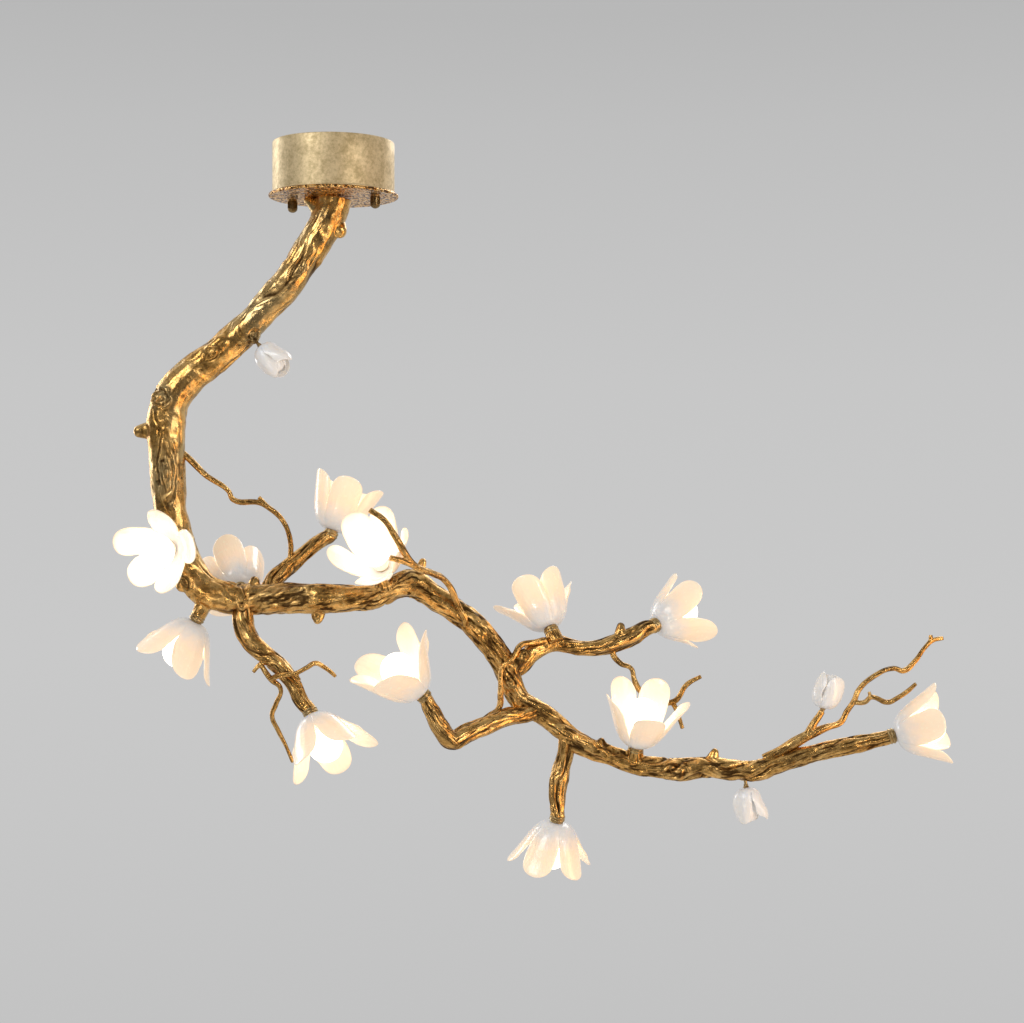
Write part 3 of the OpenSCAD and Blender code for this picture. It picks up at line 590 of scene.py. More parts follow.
@dataclass(frozen=True)
class CastBrass:
    """Aged brass of the castings: gold on the ridges, with brown patina and painted shade in the grooves and
    between the strands.
    """

    bright: Colour = (1.0, 0.62, 0.22)
    middle: Colour = (0.68, 0.37, 0.10)
    dark: Colour = (0.22, 0.105, 0.028)
    # The grooves' colour: brown patina with painted shade
    groove_patina_and_shade: Colour = (0.055, 0.026, 0.008)
    patina: Colour = (0.55, 0.42, 0.21)
    strand: float = 2.8

    def material(self) -> bpy.types.Material:
        """Build the material.

        Returns:
            The material, which reads the attributes hollow, ropey and the three of the grain.
        """
        look = Shading("cast_brass", metallic=1.0)
        cloud = look.noise(26, 4, 0.6)
        speck = look.noise(4.5, 3, 0.6)
        mixed = look.weigh(cloud, speck, 0.58)
        metal = look.ramp(mixed, [(0.35, self.dark), (0.46, self.middle), (0.60, self.bright)])
        ropey = look.attribute("ropey")
        worn = look.grade(look.noise(60, 3, 0.6), 0.42, 0.62, 0, 0.85)
        worn = look.times(worn, look.grade(ropey, 0, 1, 0.85, 0.22))
        dusty = look.blend(worn, metal, self.patina)
        lines = look.node(
            "ShaderNodeCombineXYZ", X=look.attribute("grain_run"), Y=look.attribute("grain_side"),
            Z=look.attribute("grain_up"))
        strands = look.noise(self.strand, 3, 0.55, places=lines.outputs[0])
        lines_share = look.grade(ropey, 0, 1, 0.25, 1)
        # Painted shade between the strands, darkest in the troughs of the strand noise
        strand_shade = look.times(look.grade(strands, 0.38, 0.50, 0.85, 0), lines_share)
        hollow = look.sum(look.attribute("hollow"), strand_shade)
        # The hollows darken to the grooves' colour: patina with painted shade in the channels, pits and eye
        # rings
        shadowed = look.blend(look.grade(hollow, 0.10, 0.80, 0, 0.94), dusty, self.groove_patina_and_shade)
        rough = look.grade(look.sum(mixed, hollow), 0.3, 1.2, 0.19, 0.46)
        ridged = look.relief(look.times(strands, lines_share), 0.9, 0.6)
        grain = look.relief(look.noise(1.6, 3, 0.65), 0.22, 0.7, under=ridged)
        coarse = look.relief(look.noise(7, 3, 0.6), 0.6, 0.55, under=grain)
        return look.finish(base_color=shadowed, roughness=rough, normal=coarse)


@dataclass(frozen=True)
class Porcelain:
    """Glazed porcelain of the blossoms, greyer and cooler at the base and warmer towards the tips, with a
    painted glow of the lamp's light shining through.
    """

    name: str = "porcelain"
    cool: Colour = (0.66, 0.675, 0.69)
    warm: Colour = (0.85, 0.73, 0.58)
    # Emission colours and strength of a painted glow, standing in for the lamp's light through the porcelain
    painted_base_glow: Colour = (0.36, 0.36, 0.37)
    glow: Colour = (0.92, 0.69, 0.50)
    strength: float = 0.36
    vein_run: Point = (0.055, 0.012, 1.0)

    def material(self) -> bpy.types.Material:
        """Build the material.

        Returns:
            The material, which reads the petals' UV map.
        """
        look = Shading(self.name, emission_strength=self.strength, coat_weight=0.45,
                       coat_roughness=0.1, subsurface_weight=0.3, subsurface_scale=0.004,
                       subsurface_radius=(1.0, 0.85, 0.65))
        layout = look.node("ShaderNodeUVMap")
        layout.uv_map = "UVMap"
        split = look.node("ShaderNodeSeparateXYZ", Vector=layout.outputs["UV"])
        along = look.sum(split.outputs["Y"], look.times(look.noise(11, 3, 0.6), 0.34))
        along = look.less(along, 0.10)
        side = look.times(look.less(split.outputs["X"], 0.5), 2.0)
        # Painted highlight: the free edges of the petals glow brighter
        free = look.grade(split.outputs["Y"], 0.45, 0.62, 0, 0.3)
        rim = look.times(look.combine("POWER", side, 8.0), free)
        skin = look.ramp(along, [(0.34, self.cool), (0.72, self.warm)])
        painted_shine = look.sum(along, rim)
        # Painted glow: emission standing in for the lamp's light through the porcelain, rising towards the
        # tips and edges
        lit = look.ramp(painted_shine, [
            (0.34, self.painted_base_glow), (0.70, tuple(0.76 * c for c in self.glow)), (1.0, self.glow)])
        veins = look.noise(2.6, 2, 0.5, places=look.stretched(layout.outputs["UV"], self.vein_run))
        fine = look.relief(veins, 0.7, 0.55)
        glaze = look.times(look.noise(5.5, 2, 0.5), look.grade(split.outputs["Y"], 0.35, 0.8, 1.0, 0.3))
        waves = look.relief(glaze, 1.0, 0.4, under=fine)
        rough = look.grade(look.noise(6, 2), 0.3, 0.7, 0.14, 0.30)
        return look.finish(base_color=skin, emission_color=lit, roughness=rough, normal=waves)


@dataclass(frozen=True)
class Sheet:
    """A rolled or turned metal: its colours, its roughness and the size of its marks."""

    name: str
    light: Colour
    deep: Colour
    rough: tuple[float, float]
    cloud: float
    mark: float
    depth: float = 0.05
    metallic: float = 1.0

    def material(self) -> bpy.types.Material:
        """Build the material.

        Returns:
            The material.
        """
        look = Shading(self.name, metallic=self.metallic)
        cloud = look.noise(self.cloud, 5, 0.65)
        marks = look.noise(self.mark, 4, 0.7)
        mixed = look.weigh(cloud, marks, 0.55)
        metal = look.ramp(mixed, [(0.38, self.deep), (0.58, self.light)])
        rough = look.grade(mixed, 0.35, 0.65, self.rough[1], self.rough[0])
        return look.finish(base_color=metal, roughness=rough,
                           normal=look.relief(marks, self.depth, 0.5))


@dataclass(frozen=True)
class HammeredPlate:
    """The plate's ball-hammered gilding: painted highlights on the ridges and painted shade in the dents."""

    ridge_highlight: Colour = (1.0, 0.62, 0.24)
    middle: Colour = (0.80, 0.42, 0.12)
    dent_shade: Colour = (0.17, 0.07, 0.018)
    dent_size: float = 3.4
    dent_run: float = 0.36

    def material(self) -> bpy.types.Material:
        """Build the material.

        Returns:
            The material.
        """
        look = Shading("hammered_plate", metallic=1.0)
        stretched = look.stretched(look.places, (1.0, self.dent_run, 1.0))
        dents = look.noise(self.dent_size, 1, 0.4, places=stretched)
        cloud = look.noise(24, 4, 0.6)
        # The gilding's colour with painted highlights on the dent ridges and painted shade in the dents
        metal = look.ramp(dents, [(0.42, self.dent_shade), (0.50, self.middle), (0.58, self.ridge_highlight)])
        rough = look.grade(cloud, 0.35, 0.65, 0.18, 0.34)
        fine = look.relief(look.noise(1.8, 3, 0.6), 0.5, 0.8)
        return look.finish(base_color=metal, roughness=rough, normal=look.relief(dents, 5.0, 1.0, under=fine))


@dataclass(frozen=True)
class Moulded:
    """A fired or moulded plain material: colour, roughness and the faint mottling of its skin."""

    name: str
    light: Colour
    deep: Colour
    rough: float
    grain: float
    glow: float = 0.0
    glow_colour: Colour = (1.0, 1.0, 1.0)

    def material(self) -> bpy.types.Material:
        """Build the material.

        Returns:
            The material.
        """
        look = Shading(self.name, emission_strength=self.glow)
        mottle = look.noise(self.grain, 4, 0.6)
        skin = look.ramp(mottle, [(0.35, self.deep), (0.65, self.light)])
        rough = look.grade(mottle, 0.3, 0.7, self.rough * 0.85, min(1.0, self.rough * 1.2))
        bump = look.relief(look.noise(self.grain / 6, 2), 0.08, 0.4)
        if self.glow:
            soft = tuple(0.93 * c for c in self.glow_colour)
            lit = look.ramp(mottle, [(0.3, soft), (0.7, self.glow_colour)])
            return look.finish(base_color=skin, roughness=rough, normal=bump, emission_color=lit)
        return look.finish(base_color=skin, roughness=rough, normal=bump)


CAST_BRASS = CastBrass()
PETAL_PORCELAIN = Porcelain()
# The buds hold no lamp; their faint emission is a painted glow
BUD_PORCELAIN = Porcelain("bud_porcelain", (0.84, 0.85, 0.865), (0.88, 0.865, 0.845),
                          (0.62, 0.62, 0.63), (1.0, 0.90, 0.80), 0.08)
CHAMPAGNE = Sheet("champagne_sheet", (0.84, 0.665, 0.39), (0.50, 0.38, 0.19), (0.40, 0.54), 15, 4, 0.05, 0.55)
TURNED_BRASS = Sheet("turned_brass", (0.62, 0.45, 0.22), (0.30, 0.20, 0.085), (0.28, 0.46), 12, 2.4)
DARK_BRASS = Sheet("dark_brass", (0.40, 0.28, 0.13), (0.12, 0.075, 0.035), (0.30, 0.50), 9, 2)
ZINC_STEEL = Sheet("zinc_steel", (0.72, 0.73, 0.75), (0.52, 0.53, 0.56), (0.30, 0.45), 18, 3)
HAMMERED = HammeredPlate()
HOLDER_CERAMIC = Moulded("holder_ceramic", (0.86, 0.84, 0.80), (0.78, 0.76, 0.72), 0.35, 8)
BLOCK_PLASTIC = Moulded("block_plastic", (0.80, 0.79, 0.74), (0.74, 0.73, 0.68), 0.45, 6)
OPAL_GLASS = Moulded("opal_glass", (0.9, 0.88, 0.84), (0.84, 0.82, 0.78), 0.5, 12, 4.2, (1.0, 0.84, 0.62))


Flare = tuple[float, float, float]


@dataclass(frozen=True)
class Seat:
    """Where a piece of porcelain sits: its base in mm below the plate, its axis and its turn.

    Each petal has a flare: how far its tip stands out in mm, its lean in degrees and its length's share.
    """

    base: Point
    facing: Point
    spin: float = 0.0
    flares: tuple[Flare, ...] = ()

    def back(self, distance: float, radius: float) -> Station:
        """Give the route's point that lies back from the base on the seat's own axis.

        Args:
            distance: how far back, in mm.
            radius: the branch's radius there, in mm.

        Returns:
            The station.
        """
        place = np.array(self.base) - distance * unit(self.facing)
        return (*place, radius)

    def matrix(self, plate_low: float) -> Matrix:
        """Give the placing of a piece that was modelled upright at the origin.

        Args:
            plate_low: the height of the plate's underside, in metres.

        Returns:
            The matrix, in metres.
        """
        x, y, z = unit(self.facing)
        move = Matrix.Translation(Vector(self.base) * MM + Vector((0, 0, plate_low)))
        turn = Matrix.Rotation(math.atan2(y, x), 4, "Z") @ Matrix.Rotation(math.acos(z), 4, "Y")
        return move @ turn @ Matrix.Rotation(math.radians(self.spin), 4, "Z")


BLOSSOM_SEATS = (
    Seat((-199, -30, -437), (-0.22, -0.97, -0.10), 28,
         ((-2, -1, 1.0), (7, -2, 1.01), (3, -8, 0.97), (-3, 1, 0.99), (-4, 8, 0.92))),
    Seat((-122, 34, -489), (-0.28, 0.92, 0.27), 20,
         ((8, -3, 1.01), (-8, 7, 1.0), (0, 1, 1.0), (-8, -7, 1.01), (1, -2, 1.0))),
    Seat((-173, 0, -530), (-0.47, -0.02, -0.88), 68,
         ((6, -2, 0.99), (4, 0, 0.97), (4, -2, 1.0), (2, -1, 1.0), (1, 0, 0.99))),
    Seat((-7, 52, -416), (0.31, 0.20, 0.93), 29,
         ((-7, 0, 0.99), (-9, 0, 1.01), (-9, -1, 1.0), (-7, -1, 0.98), (-6, 2, 1.0))),
    Seat((63, -32, -460), (-0.21, -0.82, 0.53), 11,
         ((10, -3, 1.01), (-4, 6, 1.07), (-7, 5, 1.02), (-5, -6, 0.99), (0, -2, 1.01))),
    Seat((113, -84, -611), (-0.65, -0.30, 0.70), 60,
         ((8, -6, 1.04), (10, 2, 1.02), (2, 1, 1.04), (9, 6, 1.06), (-7, -3, 1.07))),
    Seat((-22, -46, -643), (0.43, -0.39, -0.81), 48,
         ((6, 2, 1.0), (7, 0, 1.01), (2, -1, 1.0), (4, -2, 1.0), (3, 0, 1.0))),
    Seat((271, 22, -538), (-0.36, 0.42, 0.83), 48,
         ((8, -4, 0.92), (-4, 1, 0.95), (-9, -1, 0.97), (7, 1, 0.97), (-3, 1, 1.0))),
    Seat((409, 58, -536), (0.78, 0.50, 0.34), 12,
         ((9, 5, 0.94), (0, -1, 1.0), (-1, -3, 0.95), (-1, -6, 0.91), (5, 6, 0.92))),
    Seat((378, -12, -682), (0.16, -0.34, 0.93), 56,
         ((0, 2, 1.04), (-2, 5, 1.06), (-3, -3, 1.05), (-1, -3, 1.05), (3, -2, 0.98))),
    Seat((279, 8, -781), (-0.15, 0.20, -0.97), 60,
         ((1, 2, 0.94), (3, 1, 0.97), (2, 1, 1.0), (5, -1, 0.97), (-3, 0, 0.94))),
    Seat((699, -20, -669), (0.95, -0.14, 0.28), 49,
         ((-5, 4, 0.96), (0, 0, 1.0), (-1, 0, 0.99), (2, -5, 0.96), (3, 0, 0.92))),
)
BUD_SEATS = (
    Seat((-90, -8, -187), (0.65, -0.15, -0.74), 200, ((1, 0, 1.0), (-2, 0, 0.97), (0, 0, 1.02))),
    Seat((609, -16, -636), (0.25, -0.05, 0.97), 75, ((0, 0, 1.0), (-1, 0, 1.0), (1, 0, 0.97))),
    Seat((514, -14, -735), (0.10, -0.10, -0.99), 150, ((1, 0, 1.0), (-1, 0, 0.98), (0, 0, 1.0))),
)

# Branch routes below the plate: x, y, z and the radius there, in mm. x, z and the radius are measured on
# the photograph, and y, the depth, is a guess
MAIN_ROUTE: tuple[Station, ...] = (
    (0, 0, 0, 24), (-2, 0, -12, 22.5), (-11, 0, -33, 21), (-22, 0, -53, 21), (-37, 0, -76, 21),
    (-54, 0, -103, 21), (-79, 2, -130, 20), (-103, 4, -156, 19.5), (-137, 4, -188, 20.5),
    (-160, 4, -206, 21.5), (-181, 2, -224, 22.5), (-202, 0, -251, 24), (-208, 0, -276, 25),
    (-208, 0, -321, 23), (-205, 0, -378, 21), (-200, 0, -409, 20.5), (-192, 0, -438, 20.5),
    (-179, 0, -468, 21), (-161, 0, -490, 20.5), (-132, 0, -500, 20), (-104, 0, -502, 19.5),
    (-54, -2, -501, 19.5), (-17, -4, -500, 19), (14, -6, -500, 17.5), (52, -6, -498, 15),
    (80, -4, -485, 16), (98, -2, -482, 18), (122, 0, -497, 15), (148, 0, -512, 15.5),
    (170, 0, -528, 15.5), (190, -1, -550, 16), (204, -2, -568, 15.5), (218, -2, -596, 14.5),
    (233, -2, -627, 13), (258, 0, -643, 12.5), (278, 0, -658, 12.5), (303, 0, -679, 13.5),
    (324, 0, -690, 12.5), (349, -2, -698, 11.5), (378, -4, -708, 12), (405, -6, -711, 12),
    (432, -8, -714, 14), (460, -10, -710, 12.5), (520, -14, -714, 12.5), (552, -16, -706, 12),
    (583, -17, -696, 11.5), (614, -18, -688, 11), (645, -19, -682, 10.5),
)
# The route's point where the trunk's casting ends and the bough's begins
MAIN_SPLIT = 19
DROOPING_ROUTE: tuple[Station, ...] = (
    (-111, -4, -506, 12), (-111, -12, -530, 13.5), (-102, -18, -552, 12.5), (-84, -24, -568, 11),
    (-64, -30, -583, 10.5), (-47, -36, -603, 10), (-36, -41, -625, 9.8),
)
BACK_ROUTE: tuple[Station, ...] = (
    (-82, 0, -500, 12), (-79, 12, -481, 11), (-59, 25, -462, 10), (-36, 38, -441, 9.5),
    (-16, 48, -426, 9.2),
)
LEFT_ROUTE: tuple[Station, ...] = (
    (252, 0, -641, 10), (243, -8, -644, 10), (218, -25, -646, 11), (193, -42, -654, 11),
    (169, -56, -662, 11), (150, -66, -670, 12), (136, -74, -653, 11), (124, -79, -629, 10),
)
RIGHT_ROUTE: tuple[Station, ...] = (
    (214, 0, -588, 11), (230, 6, -588, 11), (249, 14, -569, 12), (277, 22, -559, 10),
    (309, 28, -565, 9.5), (331, 34, -565, 10), (354, 40, -559, 11), (376, 46, -551, 11.5),
    (394, 53, -541, 9.5),
)
LOWER_ROUTE: tuple[Station, ...] = (
    (293, 0, -676, 11), (290, 4, -692, 10.5), (285, 8, -713, 11), (282, 8, -728, 13),
    (280, 8, -746, 10.5), (280, 8, -769, 8.5),
)
FRONT_SPUR_ROUTE: tuple[Station, ...] = ((66, 0, -488, 14), (65, -14, -477, 11))

TRUNK_TWIG: tuple[tuple[Station, ...], ...] = (
    (
        (-196, 0, -314, 5), (-183, 2, -324, 4.5), (-161, 5, -346, 3.8), (-133, 9, -366, 3.5),
        (-127, 11, -377, 3.5), (-94, 14, -381, 3.2), (-82, 16, -388, 3.2), (-67, 20, -402, 3.2),
        (-57, 24, -427, 3.2), (-57, 26, -448, 3.5), (-60, 24, -462, 4),
    ),
    ((-84, 16, -387, 3), (-95, 13, -374, 2.2)),
)
FRONT_FORK: tuple[tuple[Station, ...], ...] = (
    (
        (165, -10, -533, 4.5), (164, -17, -524, 4), (157, -22, -510, 4), (148, -30, -488, 4),
        (139, -42, -475, 4), (126, -66, -467, 4.2), (105, -98, -456, 4.5), (83, -118, -420, 4),
        (71, -120, -402, 3.8), (54, -122, -390, 3.4),
    ),
    ((112, -88, -461, 4), (92, -112, -451, 4), (78, -120, -447, 3.4)),
)
VINE_TWIG: tuple[tuple[Station, ...], ...] = (
    (
        (266, 12, -554, 4), (250, 4, -556, 3.5), (234, -6, -559, 3.5), (223, -15, -575, 3.5),
        (212, -19, -584, 3.5), (209, -19, -615, 3.5), (207, -22, -635, 3.5), (194, -36, -644, 3.5),
        (182, -46, -652, 3.5),
    ),
)
HANGING_TWIG: tuple[tuple[Station, ...], ...] = (
    ((-78, -30, -575, 3.5), (-88, -34, -581, 3.2), (-96, -36, -590, 2.4)),
    (
        (-87, -34, -580, 3), (-74, -38, -598, 3.2), (-62, -36, -610, 3.2), (-68, -30, -629, 3),
        (-74, -24, -645, 3), (-67, -18, -664, 3), (-58, -12, -684, 2.8), (-50, -8, -704, 2.2),
    ),
    (
        (-74, -39, -598, 3), (-62, -48, -593, 3), (-42, -52, -590, 3), (-28, -50, -583, 2.8),
        (-18, -46, -578, 2.8), (-8, -42, -583, 2.6), (0, -40, -589, 2.4), (6, -38, -595, 2),
    ),
    ((-42, -52, -590, 2.6), (-36, -54, -598, 2)),
)
BACK_TWIG: tuple[tuple[Station, ...], ...] = (
    (
        (356, 38, -561, 4), (351, 38, -571, 3.6), (361, 37, -585, 3.5), (374, 36, -591, 3.5),
        (378, 35, -605, 3.5), (386, 34, -620, 3.5), (405, 34, -631, 3.5), (428, 34, -633, 3.5),
        (445, 34, -611, 3.2), (463, 34, -601, 2.6),
    ),
    ((426, 34, -633, 3.2), (432, 34, -645, 3), (439, 33, -667, 2.4)),
)
TIP_TWIG: tuple[tuple[Station, ...], ...] = (
    ((590, -17, -670, 6), (597, -17, -656, 4.4), (605, -16, -645, 3.8), (608, -16, -640, 3.6)),
    (
        (536, -16, -700, 7), (556, -16, -690, 7), (575, -17, -678, 7), (592, -17, -669, 6.5),
        (615, -15, -660, 4.4), (632, -12, -654, 3.8), (640, -10, -641, 3.8),
        (649, -8, -628, 3.8), (655, -6, -615, 3.6), (674, -4, -598, 3.5), (700, 0, -588, 3.5),
        (713, 2, -591, 3.3), (728, 4, -579, 3.2), (740, 6, -563, 3), (750, 8, -554, 2.8),
        (764, 10, -551, 2.2),
    ),
    (
        (648, -8, -630, 3.2), (662, -12, -629, 3.2), (669, -13, -623, 3), (690, -14, -629, 3),
        (703, -14, -623, 2.8), (715, -14, -615, 2.6), (725, -14, -606, 2),
    ),
    ((669, -13, -624, 2.6), (667, -12, -616, 2)),
    ((748, 8, -556, 2.6), (748, 7, -547, 2)),
)

Knot = tuple[Point, Point, float, float]
TRUNK_KNOTS: tuple[Knot, ...] = (
    ((-214, 0, -289), (-243, 0, -292), 15, 8),
    ((-211, -14, -252), (-217, -20, -250), 9, 7),
    ((-208, -8, -336), (-209, -15, -352), 13, 9),
    ((4, 0, -36), (8, -4, -42), 12, 9),
    ((-100, -4, -172), (-98, -8, -177), 10, 7),
    ((-181, 0, -478), (-188, -4, -484), 13, 9),
    ((-137, -8, -182), (-152, -10, -196), 12, 10),
    ((-40, 12, -84), (-58, 13, -104), 11, 9),
)
BOUGH_KNOTS: tuple[Knot, ...] = (
    ((-19, -4, -514), (-19, -6, -526), 9, 6),
    ((-112, -10, -508), (-112, -18, -511), 10, 7),
    ((106, -2, -472), (112, -4, -455), 8, 5.5),
    ((333, -2, -686), (334, -4, -679), 8, 6),
    ((472, -10, -702), (475, -11, -692), 8, 5),
    ((423, -10, -713), (430, -14, -716), 12, 10),
    ((-101, 4, -490), (-99, 6, -480), 9, 6.5),
    ((226, -2, -580), (237, -4, -572), 11, 8),
    ((184, -8, -544), (196, -9, -558), 10, 9),
)
RIGHT_KNOTS: tuple[Knot, ...] = (((360, 42, -548), (361, 43, -538), 7, 4.5),)


@dataclass(frozen=True)
class Eye:
    """A carved eye in the bark: its middle, the way its long side runs, its half sizes and depth.

    It is carved up to reach half lengths away, where the bark faces its way more than facing.
    """

    middle: Point
    along: Point
    half_length: float
    half_width: float
    depth: float = 1.3
    rings: float = 2.2
    reach: float = 1.7
    facing: float = 0.05
    rim_width: float = 0.16

    def carve(self, places: np.ndarray, normals: np.ndarray) -> tuple[np.ndarray, np.ndarray]:
        """Carve the eye's rings into the points around it.

        Args:
            places: the casting's vertices in mm below the plate.
            normals: their normals.

        Returns:
            How far each vertex moves outwards in mm, and how much of a hollow it is.
        """
        offset = places - np.array(self.middle)
        away = np.linalg.norm(offset, axis=1)
        face = unit(normals[np.argmin(away)])
        near = (away < self.reach * self.half_length) & (normals @ face > self.facing)
        along = unit(np.array(self.along) - face * np.dot(self.along, face))
        across = np.cross(face, along)
        u = offset @ along / self.half_length
        v = offset @ across / self.half_width
        stray = value_noise(places, 9, 21) - 0.5
        out = np.sqrt(u * u + v * v * (1 + 0.8 * u * u)) + 0.3 * stray
        swirl = out * self.rings + 0.16 * np.sin(5 * u + 3 * v)
        inside = (1 - fade(0.85, 1.25, out)) * near
        rim = np.exp(-((out - 1.0) / self.rim_width) ** 2) * near
        wave = 0.5 + 0.5 * np.cos(2 * math.pi * swirl)
        lift = self.depth * (0.9 * rim - inside * (0.35 + 0.75 * (1 - wave)))
        # The eye's ring troughs count as hollow, which the metal darkens: patina with painted shade
        return lift, np.clip(inside * (1 - wave) * 0.45, 0, 1)


TRUNK_EYES = (
    Eye((-204, -24, -342), (-0.05, 0, 1), 46, 12.5, 1.5, 2.6),
    Eye((-212, -22, -252), (0.3, 0, 1), 13, 10, 1.5, 2.0),
    Eye((-98, -14, -172), (0.7, 0, 0.7), 11, 7),
    Eye((-150, -16, -197), (0.8, 0, 0.6), 16, 9),
    Eye((-44, -20, -92), (0.5, 0, 0.8), 20, 8, 1.0),
    Eye((-186, -18, -480), (0.5, 0, -0.8), 12, 9),
)
BOUGH_EYES = (
    Eye((-111, -24, -509), (1, 0, 0), 8, 6, 1.4, 1.4),
    Eye((-19, -14, -522), (1, 0, 0), 7, 7, 1.5, 1.4),
    Eye((240, -14, -572), (0.4, 0, -0.9), 7, 6, 1.3, 1.4),
    Eye((222, -16, -602), (0.4, 0, -0.9), 12, 6, 1.5),
    Eye((200, -17, -560), (0.6, 0, -0.8), 26, 8, 1.5),
    Eye((302, -13, -684), (0.8, 0, -0.5), 12, 7, 1.4),
    Eye((428, -22, -714), (1, 0, 0.1), 14, 9, 1.6, 2.0),
    Eye((-60, -21, -500), (1, 0, 0.1), 30, 8, 1.2),
)


@dataclass
class Grain:
    """The run of a casting's routes, from which its grooves take their direction.

    The angle round a route counts from across, which is square to aside where the route starts.
    """

    routes: Sequence[Sequence[Station]]
    step: float = 2.0
    aside: Point = (0.1, 1.0, 0.2)
    places: np.ndarray = field(init=False)
    across: np.ndarray = field(init=False)
    up: np.ndarray = field(init=False)
    along: np.ndarray = field(init=False)
    route: np.ndarray = field(init=False)

    def __post_init__(self) -> None:
        """Walk each route in short steps and carry a frame along it without twisting."""
        places, acrosses, ups, alongs, numbers = [], [], [], [], []
        for number, route in enumerate(self.routes):
            marks = np.array(route, dtype=float)[:, :3]
            lengths = np.r_[0, np.cumsum(np.linalg.norm(np.diff(marks, axis=0), axis=1))]
            at = np.arange(0, lengths[-1], self.step)
            walk = np.stack([np.interp(at, lengths, marks[:, k]) for k in range(3)], axis=1)
            heading = np.gradient(walk, axis=0)
            heading /= np.linalg.norm(heading, axis=1)[:, None]
            across = unit(np.cross(heading[0], self.aside))
            for place, ahead, run in zip(walk, heading, at):
                across = unit(across - ahead * np.dot(across, ahead))
                places.append(place)
                acrosses.append(across)
                ups.append(np.cross(ahead, across))
                alongs.append(run)
                numbers.append(number)
        self.places = np.array(places)
        self.across = np.array(acrosses)
        self.up = np.array(ups)
        self.along = np.array(alongs)
        self.route = np.array(numbers)

    def nearest(self, points: np.ndarray) -> np.ndarray:
        """Find the step of a route that is nearest to each point.

        Args:
            points: places in mm below the plate.

        Returns:
            The number of the step for each point.
        """
        tree = kdtree.KDTree(len(self.places))
        for index, place in enumerate(self.places):
            tree.insert(place, index)
        tree.balance()
        return np.array([tree.find(point)[1] for point in points])

    def locate(self, points: np.ndarray, nearest: np.ndarray) -> tuple[np.ndarray, np.ndarray]:
        """Find where each point lies on the nearest route.

        Args:
            points: places in mm below the plate.
            nearest: the nearest step to each point.

        Returns:
            The run along the route in mm, and the angle round it in radians.
        """
        offset = points - self.places[nearest]
        right = np.sum(offset * self.across[nearest], axis=1)
        high = np.sum(offset * self.up[nearest], axis=1)
        return self.along[nearest], np.arctan2(high, right)


@dataclass(frozen=True)
class Bark:
    """Relief of a casting: the depths in mm of its long channels, fine strands, lumps and pits.

    The channels wind round by so many turns in a metre. The counts tell how many channels, finer
    channels and strands there are round the branch, and a larger width makes a wider channel.
    """

    channel: float = 1.7
    strand: float = 0.35
    lump: float = 1.5
    pit: float = 0.45
    turns: float = 1.6
    channel_count: int = 3
    fine_count: int = 5
    strand_count: int = 11
    channel_width: float = 0.34
    fine_width: float = 0.26

    def relief(self, run: np.ndarray, angle: np.ndarray, places: np.ndarray) -> tuple[np.ndarray, np.ndarray]:
        """Work out the bark's height.

        Args:
            run: each vertex's place along its route in mm.
            angle: its angle round the route in radians.
            places: the casting's vertices in mm below the plate.

        Returns:
            How far each vertex moves outwards in mm, and how much of a hollow it is.
        """
        drift = value_noise(places, 46, 1) - 0.5
        wobble = value_noise(places, 15, 2) - 0.5
        turn = angle + 2 * math.pi * self.turns * run / MM_IN_METRE + 2.6 * drift + 0.5 * wobble
        reach = fade(0.36, 0.62, value_noise(places, 58, 3))
        reach_fine = fade(0.40, 0.66, value_noise(places, 34, 4))
        wide = np.exp(-(np.abs(np.sin(self.channel_count / 2 * turn)) / self.channel_width) ** 2) * reach
        fine = np.abs(np.sin(self.fine_count / 2 * turn + 1.3)) / self.fine_width
        fine = np.exp(-fine ** 2) * reach_fine
        strands = np.sin(self.strand_count * turn + 5 * wobble) * fade(0.3, 0.7, value_noise(places, 24, 5))
        lumps = (value_noise(places, 23, 6) - 0.5) * 1.3 + (value_noise(places, 9, 7) - 0.5) * 0.7
        pits = fade(0.70, 0.92, value_noise(places, 4.2, 8)) * fade(0.35, 0.7, value_noise(places, 30, 9))
        swell = (1 - wide) * reach * 0.35
        lift = (self.channel * (swell - wide - 0.55 * fine) + self.strand * strands
                + self.lump * lumps - self.pit * pits)
        strength = min(1.0, self.channel / 1.2)
        # The hollow share darkens the metal: brown patina with painted shade in the channels, pits and strand
        # troughs
        hollow = strength * (0.62 * wide ** 2 + 0.42 * fine ** 2) + 0.5 * pits + 0.12 * (0.5 - 0.5 * strands)
        return lift, np.clip(hollow, 0, 1)


